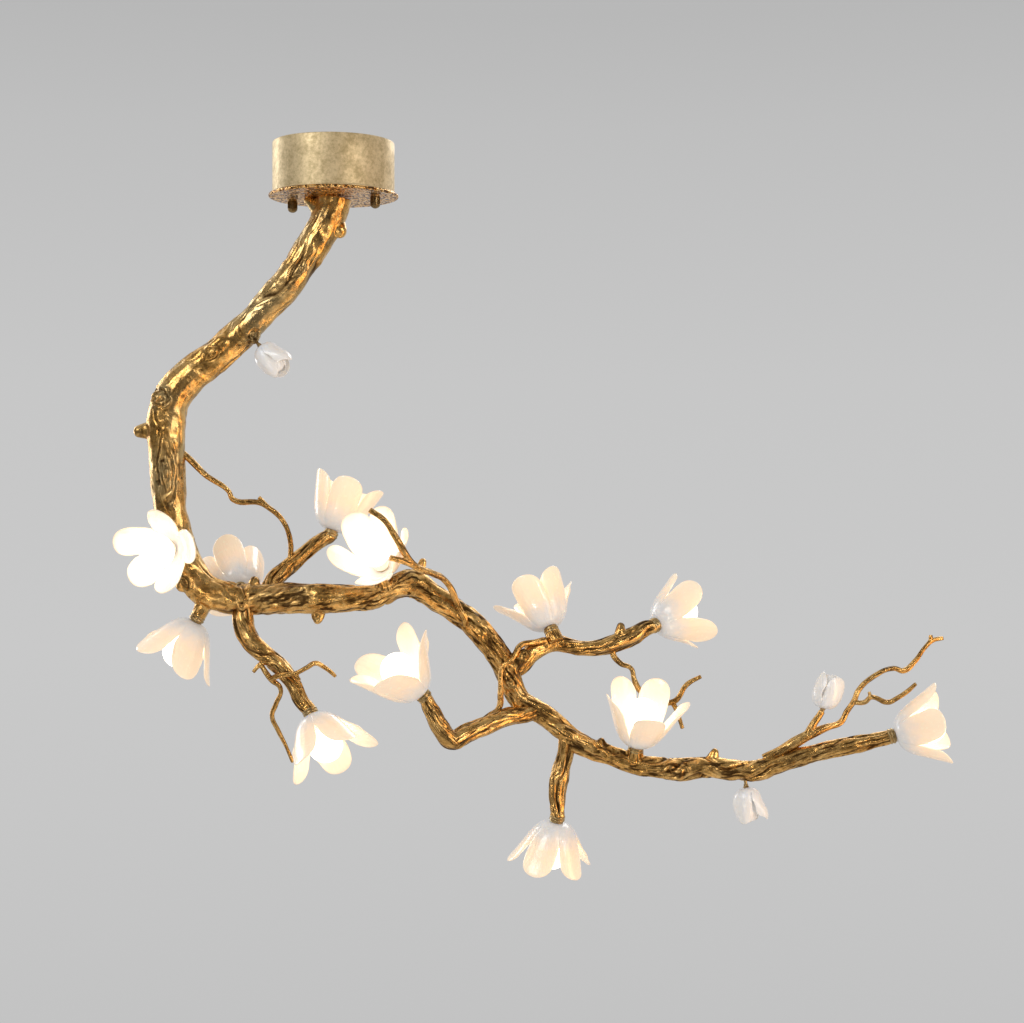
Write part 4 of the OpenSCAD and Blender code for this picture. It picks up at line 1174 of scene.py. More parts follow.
@dataclass
class Casting:
    """One brass casting: its routes, knots and eyes, fused into a single skin with bark on it.

    Towards a blossom's seat the bark calms down, between the two distances of calm_reach in mm, to
    the shares calm_relief and calm_hollow.
    """

    node: str
    routes: Sequence[Sequence[Station]]
    knots: Sequence[Knot] = ()
    eyes: Sequence[Eye] = ()
    seats: Sequence[Seat] = ()
    voxel: float = 1.2
    bark: Bark = Bark()
    ceiling: bool = False
    twist: float = 110.0
    stretch: float = 0.14
    strand_r: float = 10.0
    curve_steps: int = 7
    round_steps: int = 6
    knot_balls: int = 7
    calm_reach: tuple[float, float] = (4.0, 20.0)
    calm_relief: float = 0.12
    calm_hollow: float = 0.3

    def tube(self, route: Sequence[Station]) -> bpy.types.Object:
        """Draw a Bezier curve through a route and turn it into a closed tube.

        Args:
            route: its stations, in mm below the plate.

        Returns:
            The tube, in metres below the plate.
        """
        start_clean()
        bpy.ops.curve.primitive_bezier_curve_add(location=(0, 0, 0))
        tube = bpy.context.object
        curve = tube.data
        curve.dimensions = "3D"
        curve.resolution_u = self.curve_steps
        curve.bevel_depth = MM
        curve.bevel_resolution = self.round_steps
        curve.use_fill_caps = True
        spline = curve.splines[0]
        spline.bezier_points.add(len(route) - len(spline.bezier_points))
        for point, (x, y, z, radius) in zip(spline.bezier_points, route):
            point.co = Vector((x, y, z)) * MM
            point.radius = radius
            point.handle_left_type = "AUTO"
            point.handle_right_type = "AUTO"
        bpy.ops.object.convert(target="MESH")
        merge_doubles(tube, SEAM, outward=True)
        return tube

    def lump(self, middle: np.ndarray, radius: float) -> bpy.types.Object:
        """Add a ball of metal that the fusing melts into the branch.

        Args:
            middle: its middle in mm below the plate.
            radius: its radius in mm.

        Returns:
            The ball, in metres below the plate.
        """
        start_clean()
        bpy.ops.mesh.primitive_ico_sphere_add(subdivisions=3, radius=radius * MM, location=middle * MM)
        ball = bpy.context.object
        bpy.ops.object.transform_apply(location=True, rotation=False, scale=False)
        return ball

    def blank(self) -> bpy.types.Object:
        """Join the tubes and the knots and fuse them into one skin.

        Returns:
            The smooth casting, in metres below the plate.
        """
        parts = [self.tube(route) for route in self.routes]
        for start, end, start_r, end_r in self.knots:
            for share in np.linspace(0, 1, self.knot_balls):
                middle = np.array(start) * (1 - share) + np.array(end) * share
                parts.append(self.lump(middle, start_r * (1 - share) + end_r * share))
        piece = join(parts, f"{self.node}_casting")
        apply_modifier(piece, Stack.FUSED, mode="VOXEL", voxel_size=self.voxel * MM)
        apply_modifier(piece, Stack.SOFTENED, factor=0.5, iterations=5)
        return piece

    def survey(self, places: np.ndarray) -> tuple[np.ndarray, np.ndarray, np.ndarray]:
        """Find where each vertex lies on the casting.

        Args:
            places: the vertices in mm below the plate.

        Returns:
            The run along the route in mm, the angle round it in radians and the ropey bark's share.
        """
        grain = Grain(self.routes)
        run, angle = grain.locate(places, grain.nearest(places))
        return run, angle, np.ones(len(places))

    def relief(self, run: np.ndarray, angle: np.ndarray, share: np.ndarray,
               places: np.ndarray) -> tuple[np.ndarray, np.ndarray]:
        """Work out this casting's bark.

        Args:
            run: each vertex's place along its route in mm.
            angle: its angle round the route in radians.
            share: the ropey bark's share, which is all of it here; not used.
            places: the vertices in mm below the plate.

        Returns:
            How far each vertex moves outwards in mm, and how much of a hollow it is.
        """
        return self.bark.relief(run, angle, places)

    def keep_grain(self, piece: bpy.types.Object, run: np.ndarray, angle: np.ndarray,
                   share: np.ndarray) -> None:
        """Keep the grain on the mesh, so that the metal's fine strands follow the branch.

        Args:
            piece: the casting.
            run: each vertex's place along its route in mm.
            angle: its angle round the route in radians.
            share: how ropey the bark is there, from 0 to 1.
        """
        turn = angle + run / self.twist
        set_attribute(piece, "grain_run", run * self.stretch * MM)
        set_attribute(piece, "grain_side", np.cos(turn) * self.strand_r * MM)
        set_attribute(piece, "grain_up", np.sin(turn) * self.strand_r * MM)
        set_attribute(piece, "ropey", share)

    def build(self, plate_low: float, metal: bpy.types.Material) -> bpy.types.Object:
        """Build the casting and dress it.

        Args:
            plate_low: the height of the plate's underside in metres.
            metal: the cast brass.

        Returns:
            The finished piece.
        """
        piece = self.blank()
        places = read_points(piece) / MM
        normals = read_rows(piece.data.vertices, "normal")
        run, angle, share = self.survey(places)
        lift, hollow = self.relief(run, angle, share, places)
        for eye in self.eyes:
            raised, sunk = eye.carve(places, normals)
            lift += raised
            hollow = np.clip(hollow + sunk, 0, 1)
        rough = np.ones(len(places))
        for seat in self.seats:
            away = np.linalg.norm(places - np.array(seat.base), axis=1)
            rough = np.minimum(rough, fade(*self.calm_reach, away))
        places = places + normals * (lift * (self.calm_relief + (1 - self.calm_relief) * rough))[:, None]
        if self.ceiling:
            places[:, 2] = np.minimum(places[:, 2], 0.0)
        write_points(piece, places * MM + np.array((0, 0, plate_low)))
        # The material darkens the hollows: patina with painted shade
        set_attribute(piece, "hollow", hollow * (self.calm_hollow + (1 - self.calm_hollow) * rough))
        self.keep_grain(piece, run, angle, share)
        piece.data.materials.append(metal)
        shade(piece)
        return piece


@dataclass
class Stem(Casting):
    """Trunk and bough in one skin, whose bark runs on through the joint, parted when it is finished."""

    upper_bark: Bark = Bark()
    joint: int = MAIN_SPLIT
    trunk_routes: int = 3
    joint_reach: float = 30.0
    change: float = 130.0

    def bough_share(self, grain: Grain, nearest: np.ndarray, change: float) -> np.ndarray:
        """Tell how much of each point belongs to the bough.

        Args:
            grain: the run of the stem's routes, the main one first and then the trunk's stubs.
            nearest: the nearest step to each point.
            change: how far from the joint in mm the share still changes.

        Returns:
            One share for each point, 0 on the trunk and 1 on the bough.
        """
        marks = np.array(self.routes[0][:self.joint + 1], dtype=float)[:, :3]
        run = np.linalg.norm(np.diff(marks, axis=0), axis=1).sum()
        main = fade(run - change, run + change, grain.along)
        share = np.where(grain.route == 0, main, grain.route >= self.trunk_routes)
        return share[nearest]

    def survey(self, places: np.ndarray) -> tuple[np.ndarray, np.ndarray, np.ndarray]:
        """Find where each vertex lies on the stem.

        Args:
            places: the vertices in mm below the plate.

        Returns:
            The run along the route in mm, the angle round it in radians and the bough's share.
        """
        grain = Grain(self.routes)
        nearest = grain.nearest(places)
        run, angle = grain.locate(places, nearest)
        return run, angle, self.bough_share(grain, nearest, self.change)

    def relief(self, run: np.ndarray, angle: np.ndarray, share: np.ndarray,
               places: np.ndarray) -> tuple[np.ndarray, np.ndarray]:
        """Blend the trunk's bark into the bough's.

        Args:
            run: each vertex's place along its route in mm.
            angle: its angle round the route in radians.
            share: the bough's share.
            places: the vertices in mm below the plate.

        Returns:
            How far each vertex moves outwards in mm, and how much of a hollow it is.
        """
        upper = self.upper_bark.relief(run, angle, places)
        lower = self.bark.relief(run, angle, places)
        return tuple(first * (1 - share) + second * share for first, second in zip(upper, lower))

    def part(self, stem: bpy.types.Object, plate_low: float) -> tuple[bpy.types.Object, ...]:
        """Cut the finished stem across at the joint.

        Args:
            stem: the finished stem.
            plate_low: the height of the plate's underside in metres.

        Returns:
            The trunk's and the bough's castings, each closed.
        """
        route = self.routes[0]
        joint = np.array(route[self.joint][:3])
        ahead = unit(np.subtract(route[self.joint + 1][:3], route[self.joint - 1][:3]))
        origin = Vector((0, 0, plate_low))
        select_faces(stem, np.linalg.norm(self.centres(stem, plate_low) - joint, axis=1) < self.joint_reach)
        bpy.ops.mesh.bisect(plane_co=Vector(joint) * MM + origin, plane_no=ahead)
        bpy.ops.object.mode_set(mode="OBJECT")
        centres = self.centres(stem, plate_low)
        grain = Grain(self.routes)
        on_bough = self.bough_share(grain, grain.nearest(centres), 1.0) > 0.5
        near = np.linalg.norm(centres - joint, axis=1) < self.joint_reach
        on_bough = np.where(near, (centres - joint) @ ahead > 0, on_bough)
        castings = []
        for name, surplus in (("trunk_casting", on_bough), ("bough_casting", ~on_bough)):
            casting = own_copy(stem, name)
            select_faces(casting, surplus)
            bpy.ops.mesh.delete(type="FACE")
            bpy.ops.mesh.select_all(action="SELECT")
            bpy.ops.mesh.fill_holes(sides=0)
            bpy.ops.object.mode_set(mode="OBJECT")
            shade(casting, 60)
            castings.append(casting)
        discard(stem)
        return tuple(castings)

    def centres(self, piece: bpy.types.Object, plate_low: float) -> np.ndarray:
        """Read the middles of a piece's faces in mm below the plate."""
        return (read_rows(piece.data.polygons, "center") - np.array((0, 0, plate_low))) / MM


@dataclass
class Branch:
    """All the castings: trunk, bough, five limbs and six bare twigs."""

    plate_low: float
    seat_radius: float = 8.6
    seat_gap: float = 1.5

    def to_seat(self, route: Sequence[Station], seat: Seat, lead: float = 8.0) -> tuple[Station, ...]:
        """Lead a route on to its blossom's seat, the last lead of mm along the seat's own axis."""
        return (*route, seat.back(lead, self.seat_radius), seat.back(self.seat_gap, self.seat_radius))

    def stub(self, seat: Seat, length: float, root: float) -> tuple[Station, ...]:
        """Give the short side branch under a blossom.

        Args:
            seat: where the blossom sits.
            length: the stub's length in mm.
            root: its radius at the root in mm.

        Returns:
            The stub's route.
        """
        middle = (root + self.seat_radius) / 2
        end = seat.back(self.seat_gap, self.seat_radius)
        return (seat.back(length, root), seat.back(length / 2, middle), end)

    def stem(self) -> Stem:
        """Describe the stem: the main route, the trunk's two stubs, and then the bough's.

        Returns:
            The stem, not yet built.
        """
        seats = BLOSSOM_SEATS
        foot: Knot = ((-12, 0, -18), (-29, -2, -4), 14, 7)
        routes = [
            self.to_seat(MAIN_ROUTE, seats[11], 12), self.stub(seats[0], 34, 13),
            self.stub(seats[2], 34, 12), self.stub(seats[1], 38, 12),
            self.stub(seats[9], 26, 11), self.to_seat(FRONT_SPUR_ROUTE, seats[4]),
        ]
        return Stem(
            node="stem", routes=routes, knots=(*TRUNK_KNOTS, foot, *BOUGH_KNOTS),
            eyes=(*TRUNK_EYES, *BOUGH_EYES), seats=tuple(seats[k] for k in (0, 1, 2, 4, 9, 11)), voxel=1.25,
            bark=Bark(channel=2.5, strand=0.6, lump=1.5, pit=0.3, turns=2.2),
            upper_bark=Bark(channel=1.2, strand=0.2, lump=2.2, pit=0.6, turns=0.9), ceiling=True)

    def castings(self) -> list[Casting]:
        """List the limbs and the twigs with their routes.

        Returns:
            The castings in the order they are built.
        """
        seats = BLOSSOM_SEATS
        limb = Bark(channel=1.7, strand=0.45, lump=1.4, pit=0.3, turns=2.0)
        twig = Bark(channel=0.35, strand=0.12, lump=0.75, pit=0.15, turns=3.0)
        made = []
        limbs = (
            ("drooping_limb", DROOPING_ROUTE, 6), ("back_limb", BACK_ROUTE, 3),
            ("left_limb", LEFT_ROUTE, 5), ("lower_limb", LOWER_ROUTE, 10),
        )
        for node, route, index in limbs:
            seat = seats[index]
            made.append(Casting(node, [self.to_seat(route, seat)], seats=(seat,), voxel=1.0, bark=limb))
        right = [self.to_seat(RIGHT_ROUTE, seats[8]), self.stub(seats[7], 22, 10)]
        made.append(Casting(
            "right_limb", right, RIGHT_KNOTS, seats=(seats[7], seats[8]), voxel=1.0, bark=limb))
        twigs = (
            ("trunk_twig", TRUNK_TWIG), ("front_fork", FRONT_FORK), ("vine_twig", VINE_TWIG),
            ("hanging_twig", HANGING_TWIG), ("back_twig", BACK_TWIG), ("tip_twig", TIP_TWIG),
        )
        for node, forks in twigs:
            made.append(Casting(node, forks, voxel=0.7, bark=twig))
        return made

    def build(self) -> None:
        """Build every casting and let it ride on the fixture."""
        metal = CAST_BRASS.material()
        stem = self.stem()
        trunk, bough = stem.part(stem.build(self.plate_low, metal), self.plate_low)
        deliver(trunk, FIXTURE, ["trunk"])
        deliver(bough, FIXTURE, ["bough"])
        for casting in self.castings():
            piece = casting.build(self.plate_low, metal)
            deliver(piece, FIXTURE, [casting.node])


@dataclass(frozen=True)
class Corolla:
    """A porcelain cup of fused petals, upright at the origin, with its sizes in mm."""

    petals: int = 5
    hole_r: float = 5.2
    base_r: float = 9.5
    mouth_r: float = 54.0
    height: float = 65.0
    low_bow: tuple[float, float] = (29.7, 1.3)
    high_bow: tuple[float, float] = (35.6, 33.8)
    fused: float = 0.36
    tip_dip: float = 0.36
    petal_w: float = 41.5
    full_at: float = 0.75
    shoulder: float = 1.6
    overlap: float = 2.5
    lap: float = 1.3
    curl: float = 0.06
    valley: float = 1.5
    wall: float = 2.5
    tip_wall: float = 0.62
    columns: int = 12
    rows: int = 20
    floor_rows: float = 0.10
    cup_rows: float = 0.38
    ripple: float = 0.7
    fold: float = 0.9
    fold_width: float = 0.16
    droop: float = 0.35
    wall_fade: tuple[float, float] = (0.15, 0.9)

    def profile(self, share: np.ndarray) -> tuple[np.ndarray, np.ndarray]:
        """Give the cup's outline.

        Args:
            share: the way from the base, 0, to the tips, 1.

        Returns:
            The radius and the height in mm.
        """
        rest = 1 - share
        first, second, third = 3 * rest * rest * share, 3 * rest * share ** 2, share ** 3
        radius = (rest ** 3 * self.base_r + first * self.low_bow[0]
                  + second * self.high_bow[0] + third * self.mouth_r)
        height = first * self.low_bow[1] + second * self.high_bow[1] + third * self.height
        return radius, height

    def half_angle(self, row: np.ndarray, radius: np.ndarray) -> np.ndarray:
        """Give half the angle that a petal takes up round the cup.

        Args:
            row: 0 where the petal leaves the cup to 1 at its tip.
            radius: the petal's radius there in mm.

        Returns:
            The angle in degrees: a full share of the round at the cup, then by the petal's width.
        """
        sector = 180 / self.petals
        start = float(self.profile(np.array(self.fused))[0]) * math.sin(math.radians(sector))
        width = start + (self.petal_w / 2 - start) * fade(0, self.full_at, row)
        width = width + self.shoulder * np.exp(-((row - 0.25) / 0.2) ** 2)
        reach = np.degrees(np.arcsin(np.clip(width / radius, 0, 1)))
        return sector + (np.minimum(reach, sector + self.overlap) - sector) * fade(0, 0.08, row)

    def petal(self, index: int, flare: Flare) -> Surface:
        """Give the outer surface of one petal and its part of the cup.

        Args:
            index: which petal.
            flare: how far its tip stands out, its lean and its length's share.

        Returns:
            The surface.
        """
        swing, lean, reach = flare

        def surface(across: np.ndarray, along: np.ndarray) -> np.ndarray:
            """Lay the petal's grid.

            Args:
                across: -1 to 1 over the petal's width.
                along: 0 at the hole to 1 at the tip.

            Returns:
                Places in mm.
            """
            in_floor = np.clip(along / self.floor_rows, 0, 1)
            in_cup = np.clip((along - self.floor_rows) / (self.cup_rows - self.floor_rows), 0, 1)
            row = np.clip((along - self.cup_rows) / (1 - self.cup_rows), 0, 1)
            side = np.sin(math.pi / 2 * across)
            tip = 1 - self.tip_dip * (1 - np.cos(math.pi / 2 * across))
            share = self.fused * in_cup + (reach - self.fused) * row * tip
            edge_share = self.fused * in_cup + (reach - self.fused) * row * (1 - self.tip_dip)
            radius, height = self.profile(share)
            radius = np.where(in_floor < 1, self.hole_r + (self.base_r - self.hole_r) * in_floor, radius)
            at_edge = self.profile(edge_share)[0] + swing * row ** 2
            angle = 360 * index / self.petals + side * self.half_angle(row, at_edge) + lean * row ** 2
            cup_part = fade(0.15, 1.0, in_cup)
            radius = radius - self.valley * np.abs(side) ** 5 * cup_part * (1 - 0.5 * row)
            ripple = self.ripple * np.sin(4.4 * side + 2.1 * index + self.height * lean) * row ** 2
            fold = -self.fold * np.exp(-(side / self.fold_width) ** 2) * row * (1 - row) * 2
            radius = (radius + swing * row ** 2 + ripple + fold) * (1 - self.curl * side ** 2 * row)
            radius = radius + self.lap * side * row ** 0.5
            height = height - self.droop * swing * row ** 2
            turn = np.radians(angle)
            return np.stack([radius * np.cos(turn), radius * np.sin(turn), height], axis=1)

        return surface

    def build(self, name: str, flares: Sequence[Flare]) -> bpy.types.Object:
        """Model the cup: one grid for each petal, fused at the base and given its wall.

        Args:
            name: the piece's name.
            flares: each petal's flare.

        Returns:
            The cup, upright at the origin.
        """
        grids = [
            laid_grid(name, self.columns, self.rows, self.petal(index, flare))
            for index, flare in enumerate(flares)
        ]
        cup = join(grids, name)
        merge_doubles(cup, SEAM)
        self.weigh_wall(cup)
        apply_modifier(cup, Stack.WALL, thickness=self.wall * MM, offset=-1.0,
                       vertex_group="wall", thickness_vertex_group=0.0)
        apply_modifier(cup, Stack.ROUNDED, levels=1, render_levels=1)
        shade(cup)
        return cup

    def weigh_wall(self, cup: bpy.types.Object) -> None:
        """Keep the wall full in the cup and thin at the tips, as a vertex group.

        Args:
            cup: the joined sheet, before it has a wall.
        """
        group = cup.vertex_groups.new(name="wall")
        heights = read_points(cup)[:, 2] / MM
        low, high = (share * self.height for share in self.wall_fade)
        weights = 1 - (1 - self.tip_wall) * fade(low, high, heights)
        for index, weight in enumerate(weights):
            group.add([index], float(weight), "REPLACE")


@dataclass
class Blossoms:
    """The twelve open blossoms with their turned collars and lamps."""

    plate_low: float
    corolla: Corolla = Corolla()
    collar_r: float = 9.7
    collar_l: float = 9.0
    globe_r: float = 21.0
    globe_middle: float = 41.42
    cap_low: float = 17.5
    cap_r: float = 8.0
    pin_spacing: float = 9.0
    pin_r: float = 0.8
    pin_l: float = 7.0
    arc_steps: int = 28

    def collar(self) -> bpy.types.Object:
        """Turn the grooved brass collar between a branch end and its porcelain.

        Returns:
            The pattern collar, upright at the origin.
        """
        r, low = self.collar_r, -self.collar_l
        profile = [
            (7.0, low), (r - 0.9, low), (r - 0.2, low + 0.6), (r, low + 1.6), (r - 0.3, low + 2.6),
            (r - 1.1, low + 3.0), (r - 1.1, low + 3.5), (r - 0.2, low + 4.0), (r + 0.1, low + 5.2),
            (r - 0.2, low + 6.4), (r - 1.6, low + 6.9), (r - 1.6, -0.9), (r - 1.0, -0.5), (7.0, -0.5),
        ]
        collar = turned("collar_pattern", profile, 56)
        apply_modifier(collar, Stack.EASED, width=0.15 * MM, segments=2, limit_method="ANGLE")
        shade(collar, 40)
        return collar

    def bulb(self) -> bpy.types.Object:
        """Turn the lamp: opal globe, ceramic cap and two contact pins.

        Returns:
            The pattern lamp, upright at the origin, with its three materials.
        """
        neck = math.asin(self.cap_r / self.globe_r)
        arc = [neck + (math.pi - neck) * step / self.arc_steps for step in range(self.arc_steps + 1)]
        glass = [(self.globe_r * math.sin(a), self.globe_middle - self.globe_r * math.cos(a)) for a in arc]
        globe = turned("globe", [(0.0, glass[0][1]), *glass[:-1], (0.0, glass[-1][1])], 56)
        top = glass[0][1] + 0.8
        rim = self.cap_r
        cap = turned("lamp_cap", [
            (0.0, self.cap_low), (rim - 0.8, self.cap_low), (rim, self.cap_low + 0.8),
            (rim, self.cap_low + 1.8), (rim - 0.5, self.cap_low + 2.2), (rim, self.cap_low + 2.6),
            (rim, top - 0.6), (rim - 0.6, top), (0.0, top),
        ], 48)
        pins = []
        for side in (-1, 1):
            pin = turned("contact_pin", [
                (0.0, 0.0), (self.pin_r - 0.3, 0.0), (self.pin_r, 0.4), (self.pin_r, self.pin_l + 0.5),
                (0.0, self.pin_l + 0.5),
            ], 16)
            pin.data.transform(Matrix.Translation(
                Vector((side * self.pin_spacing / 2, 0, self.cap_low - self.pin_l)) * MM))
            pins.append(pin)
        finishes = (OPAL_GLASS.material(), HOLDER_CERAMIC.material(), ZINC_STEEL.material())
        for piece, finish in zip((globe, cap, *pins), (*finishes, finishes[2])):
            piece.data.materials.append(finish)
        bulb = join([globe, cap, *pins], "lamp_pattern")
        shade(bulb, 45)
        return bulb

    def build(self) -> None:
        """Build the blossoms, their collars and their lamps."""
        porcelain = PETAL_PORCELAIN.material()
        brass = TURNED_BRASS.material()
        collar, bulb = self.collar(), self.bulb()
        collar.data.materials.append(brass)
        for number, seat in enumerate(BLOSSOM_SEATS, start=1):
            place = seat.matrix(self.plate_low)
            cup = self.corolla.build(f"blossom_{number}_porcelain", seat.flares)
            cup.data.transform(place)
            cup.data.materials.append(porcelain)
            deliver(cup, FIXTURE, [f"blossom_{number}"])
            ring = own_copy(collar, f"blossom_{number}_collar")
            ring.data.transform(place)
            deliver(ring, FIXTURE)
            lamp = own_copy(bulb, f"lamp_{number}_bulb")
            lamp.data.transform(place)
            deliver(lamp, f"lamp_{number}_body", [f"lamp_{number}"])
        discard(collar)
        discard(bulb)


@dataclass
class Buds:
    """The three half-open buds, each of two rings of petals, and their ferrules."""

    plate_low: float
    outer: Corolla = Corolla(
        petals=3, hole_r=0.8, base_r=6.0, mouth_r=11.5, height=45.0, low_bow=(22.0, 1.0),
        high_bow=(21.5, 32.0), fused=0.26, tip_dip=0.42, petal_w=31.0, full_at=0.45, shoulder=0.8,
        overlap=9.0, lap=1.7, curl=0.04, valley=0.8, wall=1.7, tip_wall=0.6, columns=16, rows=18,
        cup_rows=0.32)
    inner: Corolla = Corolla(
        petals=3, hole_r=0.8, base_r=4.0, mouth_r=6.0, height=42.0, low_bow=(17.0, 4.0),
        high_bow=(18.0, 33.0), fused=0.28, tip_dip=0.24, petal_w=26.0, full_at=0.5, shoulder=1.0,
        overlap=10.0, lap=1.2, curl=0.03, valley=0.6, wall=1.5, tip_wall=0.6, columns=14, rows=16,
        cup_rows=0.32)
    heart_turn: float = 60.0
    flare: float = 9.0
    flare_heights: tuple[float, float] = (12.0, 44.0)
    flare_angles: tuple[float, float] = (38.0, 62.0)
    flare_drop: float = 0.3

    def ferrule(self) -> bpy.types.Object:
        """Turn the small brass ferrule between a bud and its pin.

        Returns:
            The pattern ferrule, upright at the origin.
        """
        piece = turned("ferrule_pattern", [
            (1.9, -4.5), (2.5, -4.5), (2.9, -3.8), (2.7, -2.8),
            (3.2, -1.6), (3.9, -0.4), (3.6, 0.2), (1.9, 0.2),
        ], 40)
        shade(piece, 40)
        return piece

    def build(self) -> None:
        """Build the buds and their ferrules."""
        porcelain = BUD_PORCELAIN.material()
        ferrule = self.ferrule()
        ferrule.data.materials.append(TURNED_BRASS.material())
        for number, seat in enumerate(BUD_SEATS, start=1):
            place = seat.matrix(self.plate_low)
            inner = self.inner.build(f"bud_{number}_heart", seat.flares)
            inner.data.transform(Matrix.Rotation(math.radians(self.heart_turn), 4, "Z"))
            outer = self.outer.build(f"bud_{number}_porcelain", seat.flares)
            self.open_petal(outer)
            bud = join([outer, inner], f"bud_{number}_porcelain")
            bud.data.transform(place)
            bud.data.materials.append(porcelain)
            deliver(bud, FIXTURE, [f"bud_{number}"])
            ring = own_copy(ferrule, f"bud_{number}_ferrule")
            ring.data.transform(place)
            deliver(ring, FIXTURE)
        discard(ferrule)

    def open_petal(self, outer: bpy.types.Object) -> None:
        """Bend the first petal's tip outwards, so that the bud looks half open.

        Args:
            outer: the outer ring of petals, upright at the origin.
        """
        places = read_points(outer) / MM
        angle = np.degrees(np.arctan2(places[:, 1], places[:, 0]))
        middle = 1 - fade(*self.flare_angles, np.abs(angle))
        bend = self.flare * fade(*self.flare_heights, places[:, 2]) * middle
        places[:, 0] += bend
        places[:, 2] -= self.flare_drop * bend
        write_points(outer, places * MM)


@dataclass
class Canopy:
    """The drum with its rolled lip and the two knurled cap nuts."""

    drum_d: float = 152.0
    drum_h: float = 64.0
    wall: float = 1.5
    lip: float = 1.1
    nut_d: float = 12.5
    nut_h: float = 11.0
    dome_h: float = 4.0
    knurl: float = 0.35
    knurl_edge: float = 0.12
    ribs: int = 30
    bore_r: float = 2.1
    bore_l: float = 8.5
    stud_reach: float = 56.0
    stud_angle: float = -18.0
    nut_top: float = -69.0

    def drum(self) -> None:
        """Turn the drum from sheet, with a rolled lip at the plate and a hem at the ceiling."""
        r, low = self.drum_d / 2, -self.drum_h
        inner = r - self.wall
        roll = [
            (r + self.lip * 0.55 * (1 + math.cos(a)) - 0.1, low + self.lip * (1 + math.sin(a)))
            for a in (math.radians(step) for step in range(-90, 91, 30))
        ]
        profile = [(inner, low), *roll, (r, low + 2.6), (r, low + 20), (r, -20), (r, -1.2),
                   (r - 0.3, -0.3), (r - 0.7, 0.0), (inner, 0.0), (inner, -20), (inner, low + 20)]
        drum = turned("canopy_drum_shell", profile, 128)
        shade(drum, 35)
        drum.data.materials.append(CHAMPAGNE.material())
        deliver(drum, FIXTURE, ["canopy_drum"])

    def nut(self) -> bpy.types.Object:
        """Turn a cap nut and press the knurls into its side.

        Returns:
            The pattern nut, its top face at the origin.
        """
        r, low = self.nut_d / 2, -self.nut_h
        dome_r = (r * r + self.dome_h ** 2) / (2 * self.dome_h)
        reach = math.asin(min(1.0, r / dome_r))
        dome = [
            (dome_r * math.sin(reach * part), low - self.dome_h + dome_r * (1 - math.cos(reach * part)))
            for part in (0.0, 0.2, 0.4, 0.6, 0.8, 0.95)
        ]
        side_top, side_low = -1.4, low + 1.2
        profile = [
            (0.0, -self.bore_l), (self.bore_r, -self.bore_l), (self.bore_r, 0.0), (r - 0.9, 0.0),
            (r - 0.35, -0.5), (r - 0.35, -1.0), (r - 0.05, side_top), (r - 0.05, side_low),
            (r - 0.4, low + 0.6), *reversed(dome),
        ]
        nut = turned("nut_pattern", profile, self.ribs * 2)
        bpy.ops.object.mode_set(mode="EDIT")
        bpy.ops.mesh.select_all(action="DESELECT")
        bpy.ops.object.mode_set(mode="OBJECT")
        pitch = math.pi / self.ribs
        for face in nut.data.polygons:
            turn = math.atan2(face.center.y, face.center.x) / pitch
            tall = abs(face.center.z - (side_low + side_top) / 2 * MM) < 1.5 * MM
            outside = math.hypot(face.center.x, face.center.y) > (r - 0.5) * MM
            face.select = bool(tall and outside and int(math.floor(turn)) % 2 == 0)
        bpy.ops.object.mode_set(mode="EDIT")
        bpy.ops.mesh.select_mode(type="FACE")
        bpy.ops.mesh.inset(thickness=self.knurl_edge * MM, depth=-self.knurl * MM, use_individual=True)
        bpy.ops.object.mode_set(mode="OBJECT")
        shade(nut, 30)
        return nut

    def nuts(self) -> None:
        """Set a cap nut on each stud."""
        nut = self.nut()
        nut.data.materials.append(DARK_BRASS.material())
        for side, sign in (("left", -1), ("right", 1)):
            angle = math.radians(self.stud_angle)
            reach = sign * self.stud_reach
            piece = own_copy(nut, f"cap_nut_{side}_knurled")
            piece.data.transform(Matrix.Translation(
                Vector((reach * math.cos(angle), reach * math.sin(angle), self.nut_top)) * MM))
            deliver(piece, f"nut_{side}_body", [f"cap_nut_{side}"])
        discard(nut)

    def build(self) -> None:
        """Build the drum and the nuts."""
        self.drum()
        self.nuts()


@dataclass(frozen=True)
class Fixings:
    """The CAD nodes that stay as they are and get a better material."""

    def dress(self) -> None:
        """Give each remaining CAD node its finish."""
        zinc, brass, ceramic = ZINC_STEEL.material(), TURNED_BRASS.material(), HOLDER_CERAMIC.material()
        finishes = {
            "ceiling_bracket": zinc, "bracket_studs": zinc, "stud_locknuts": zinc, "nipple_washer": zinc,
            "nipple_nut": zinc, "earth_screw": brass, "canopy_nipple": brass, "blossom_nipples": brass,
            "shade_rings": brass, "stud_washer_left": brass, "stud_washer_right": brass,
            "bud_pins": brass, "terminal_block": BLOCK_PLASTIC.material(), "lampholders": ceramic,
            "canopy_plate": HAMMERED.material(),
        }
        for node, finish in finishes.items():
            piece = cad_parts[node]
            piece.data.materials.clear()
            piece.data.materials.append(finish)
            shade(piece, 30)
            LOG.info("%s keeps its solid and is dressed in %s", node, finish.name)


@dataclass(frozen=True)
class Lamp:
    """A soft studio light: where it stands, what it faces, its size and its power."""

    name: str
    place: Point
    aim: Point
    width: float
    height: float
    power: float
    colour: Colour = (1.0, 1.0, 1.0)

    def build(self) -> None:
        """Add the light."""
        start_clean()
        bpy.ops.object.light_add(type="AREA", location=self.place)
        light = named(bpy.context.object, self.name)
        light.data.shape = "RECTANGLE"
        light.data.size, light.data.size_y = self.width, self.height
        light.data.energy = self.power
        light.data.color = self.colour
        light.rotation_euler = (Vector(self.aim) - Vector(self.place)).to_track_quat("-Z", "Y").to_euler()


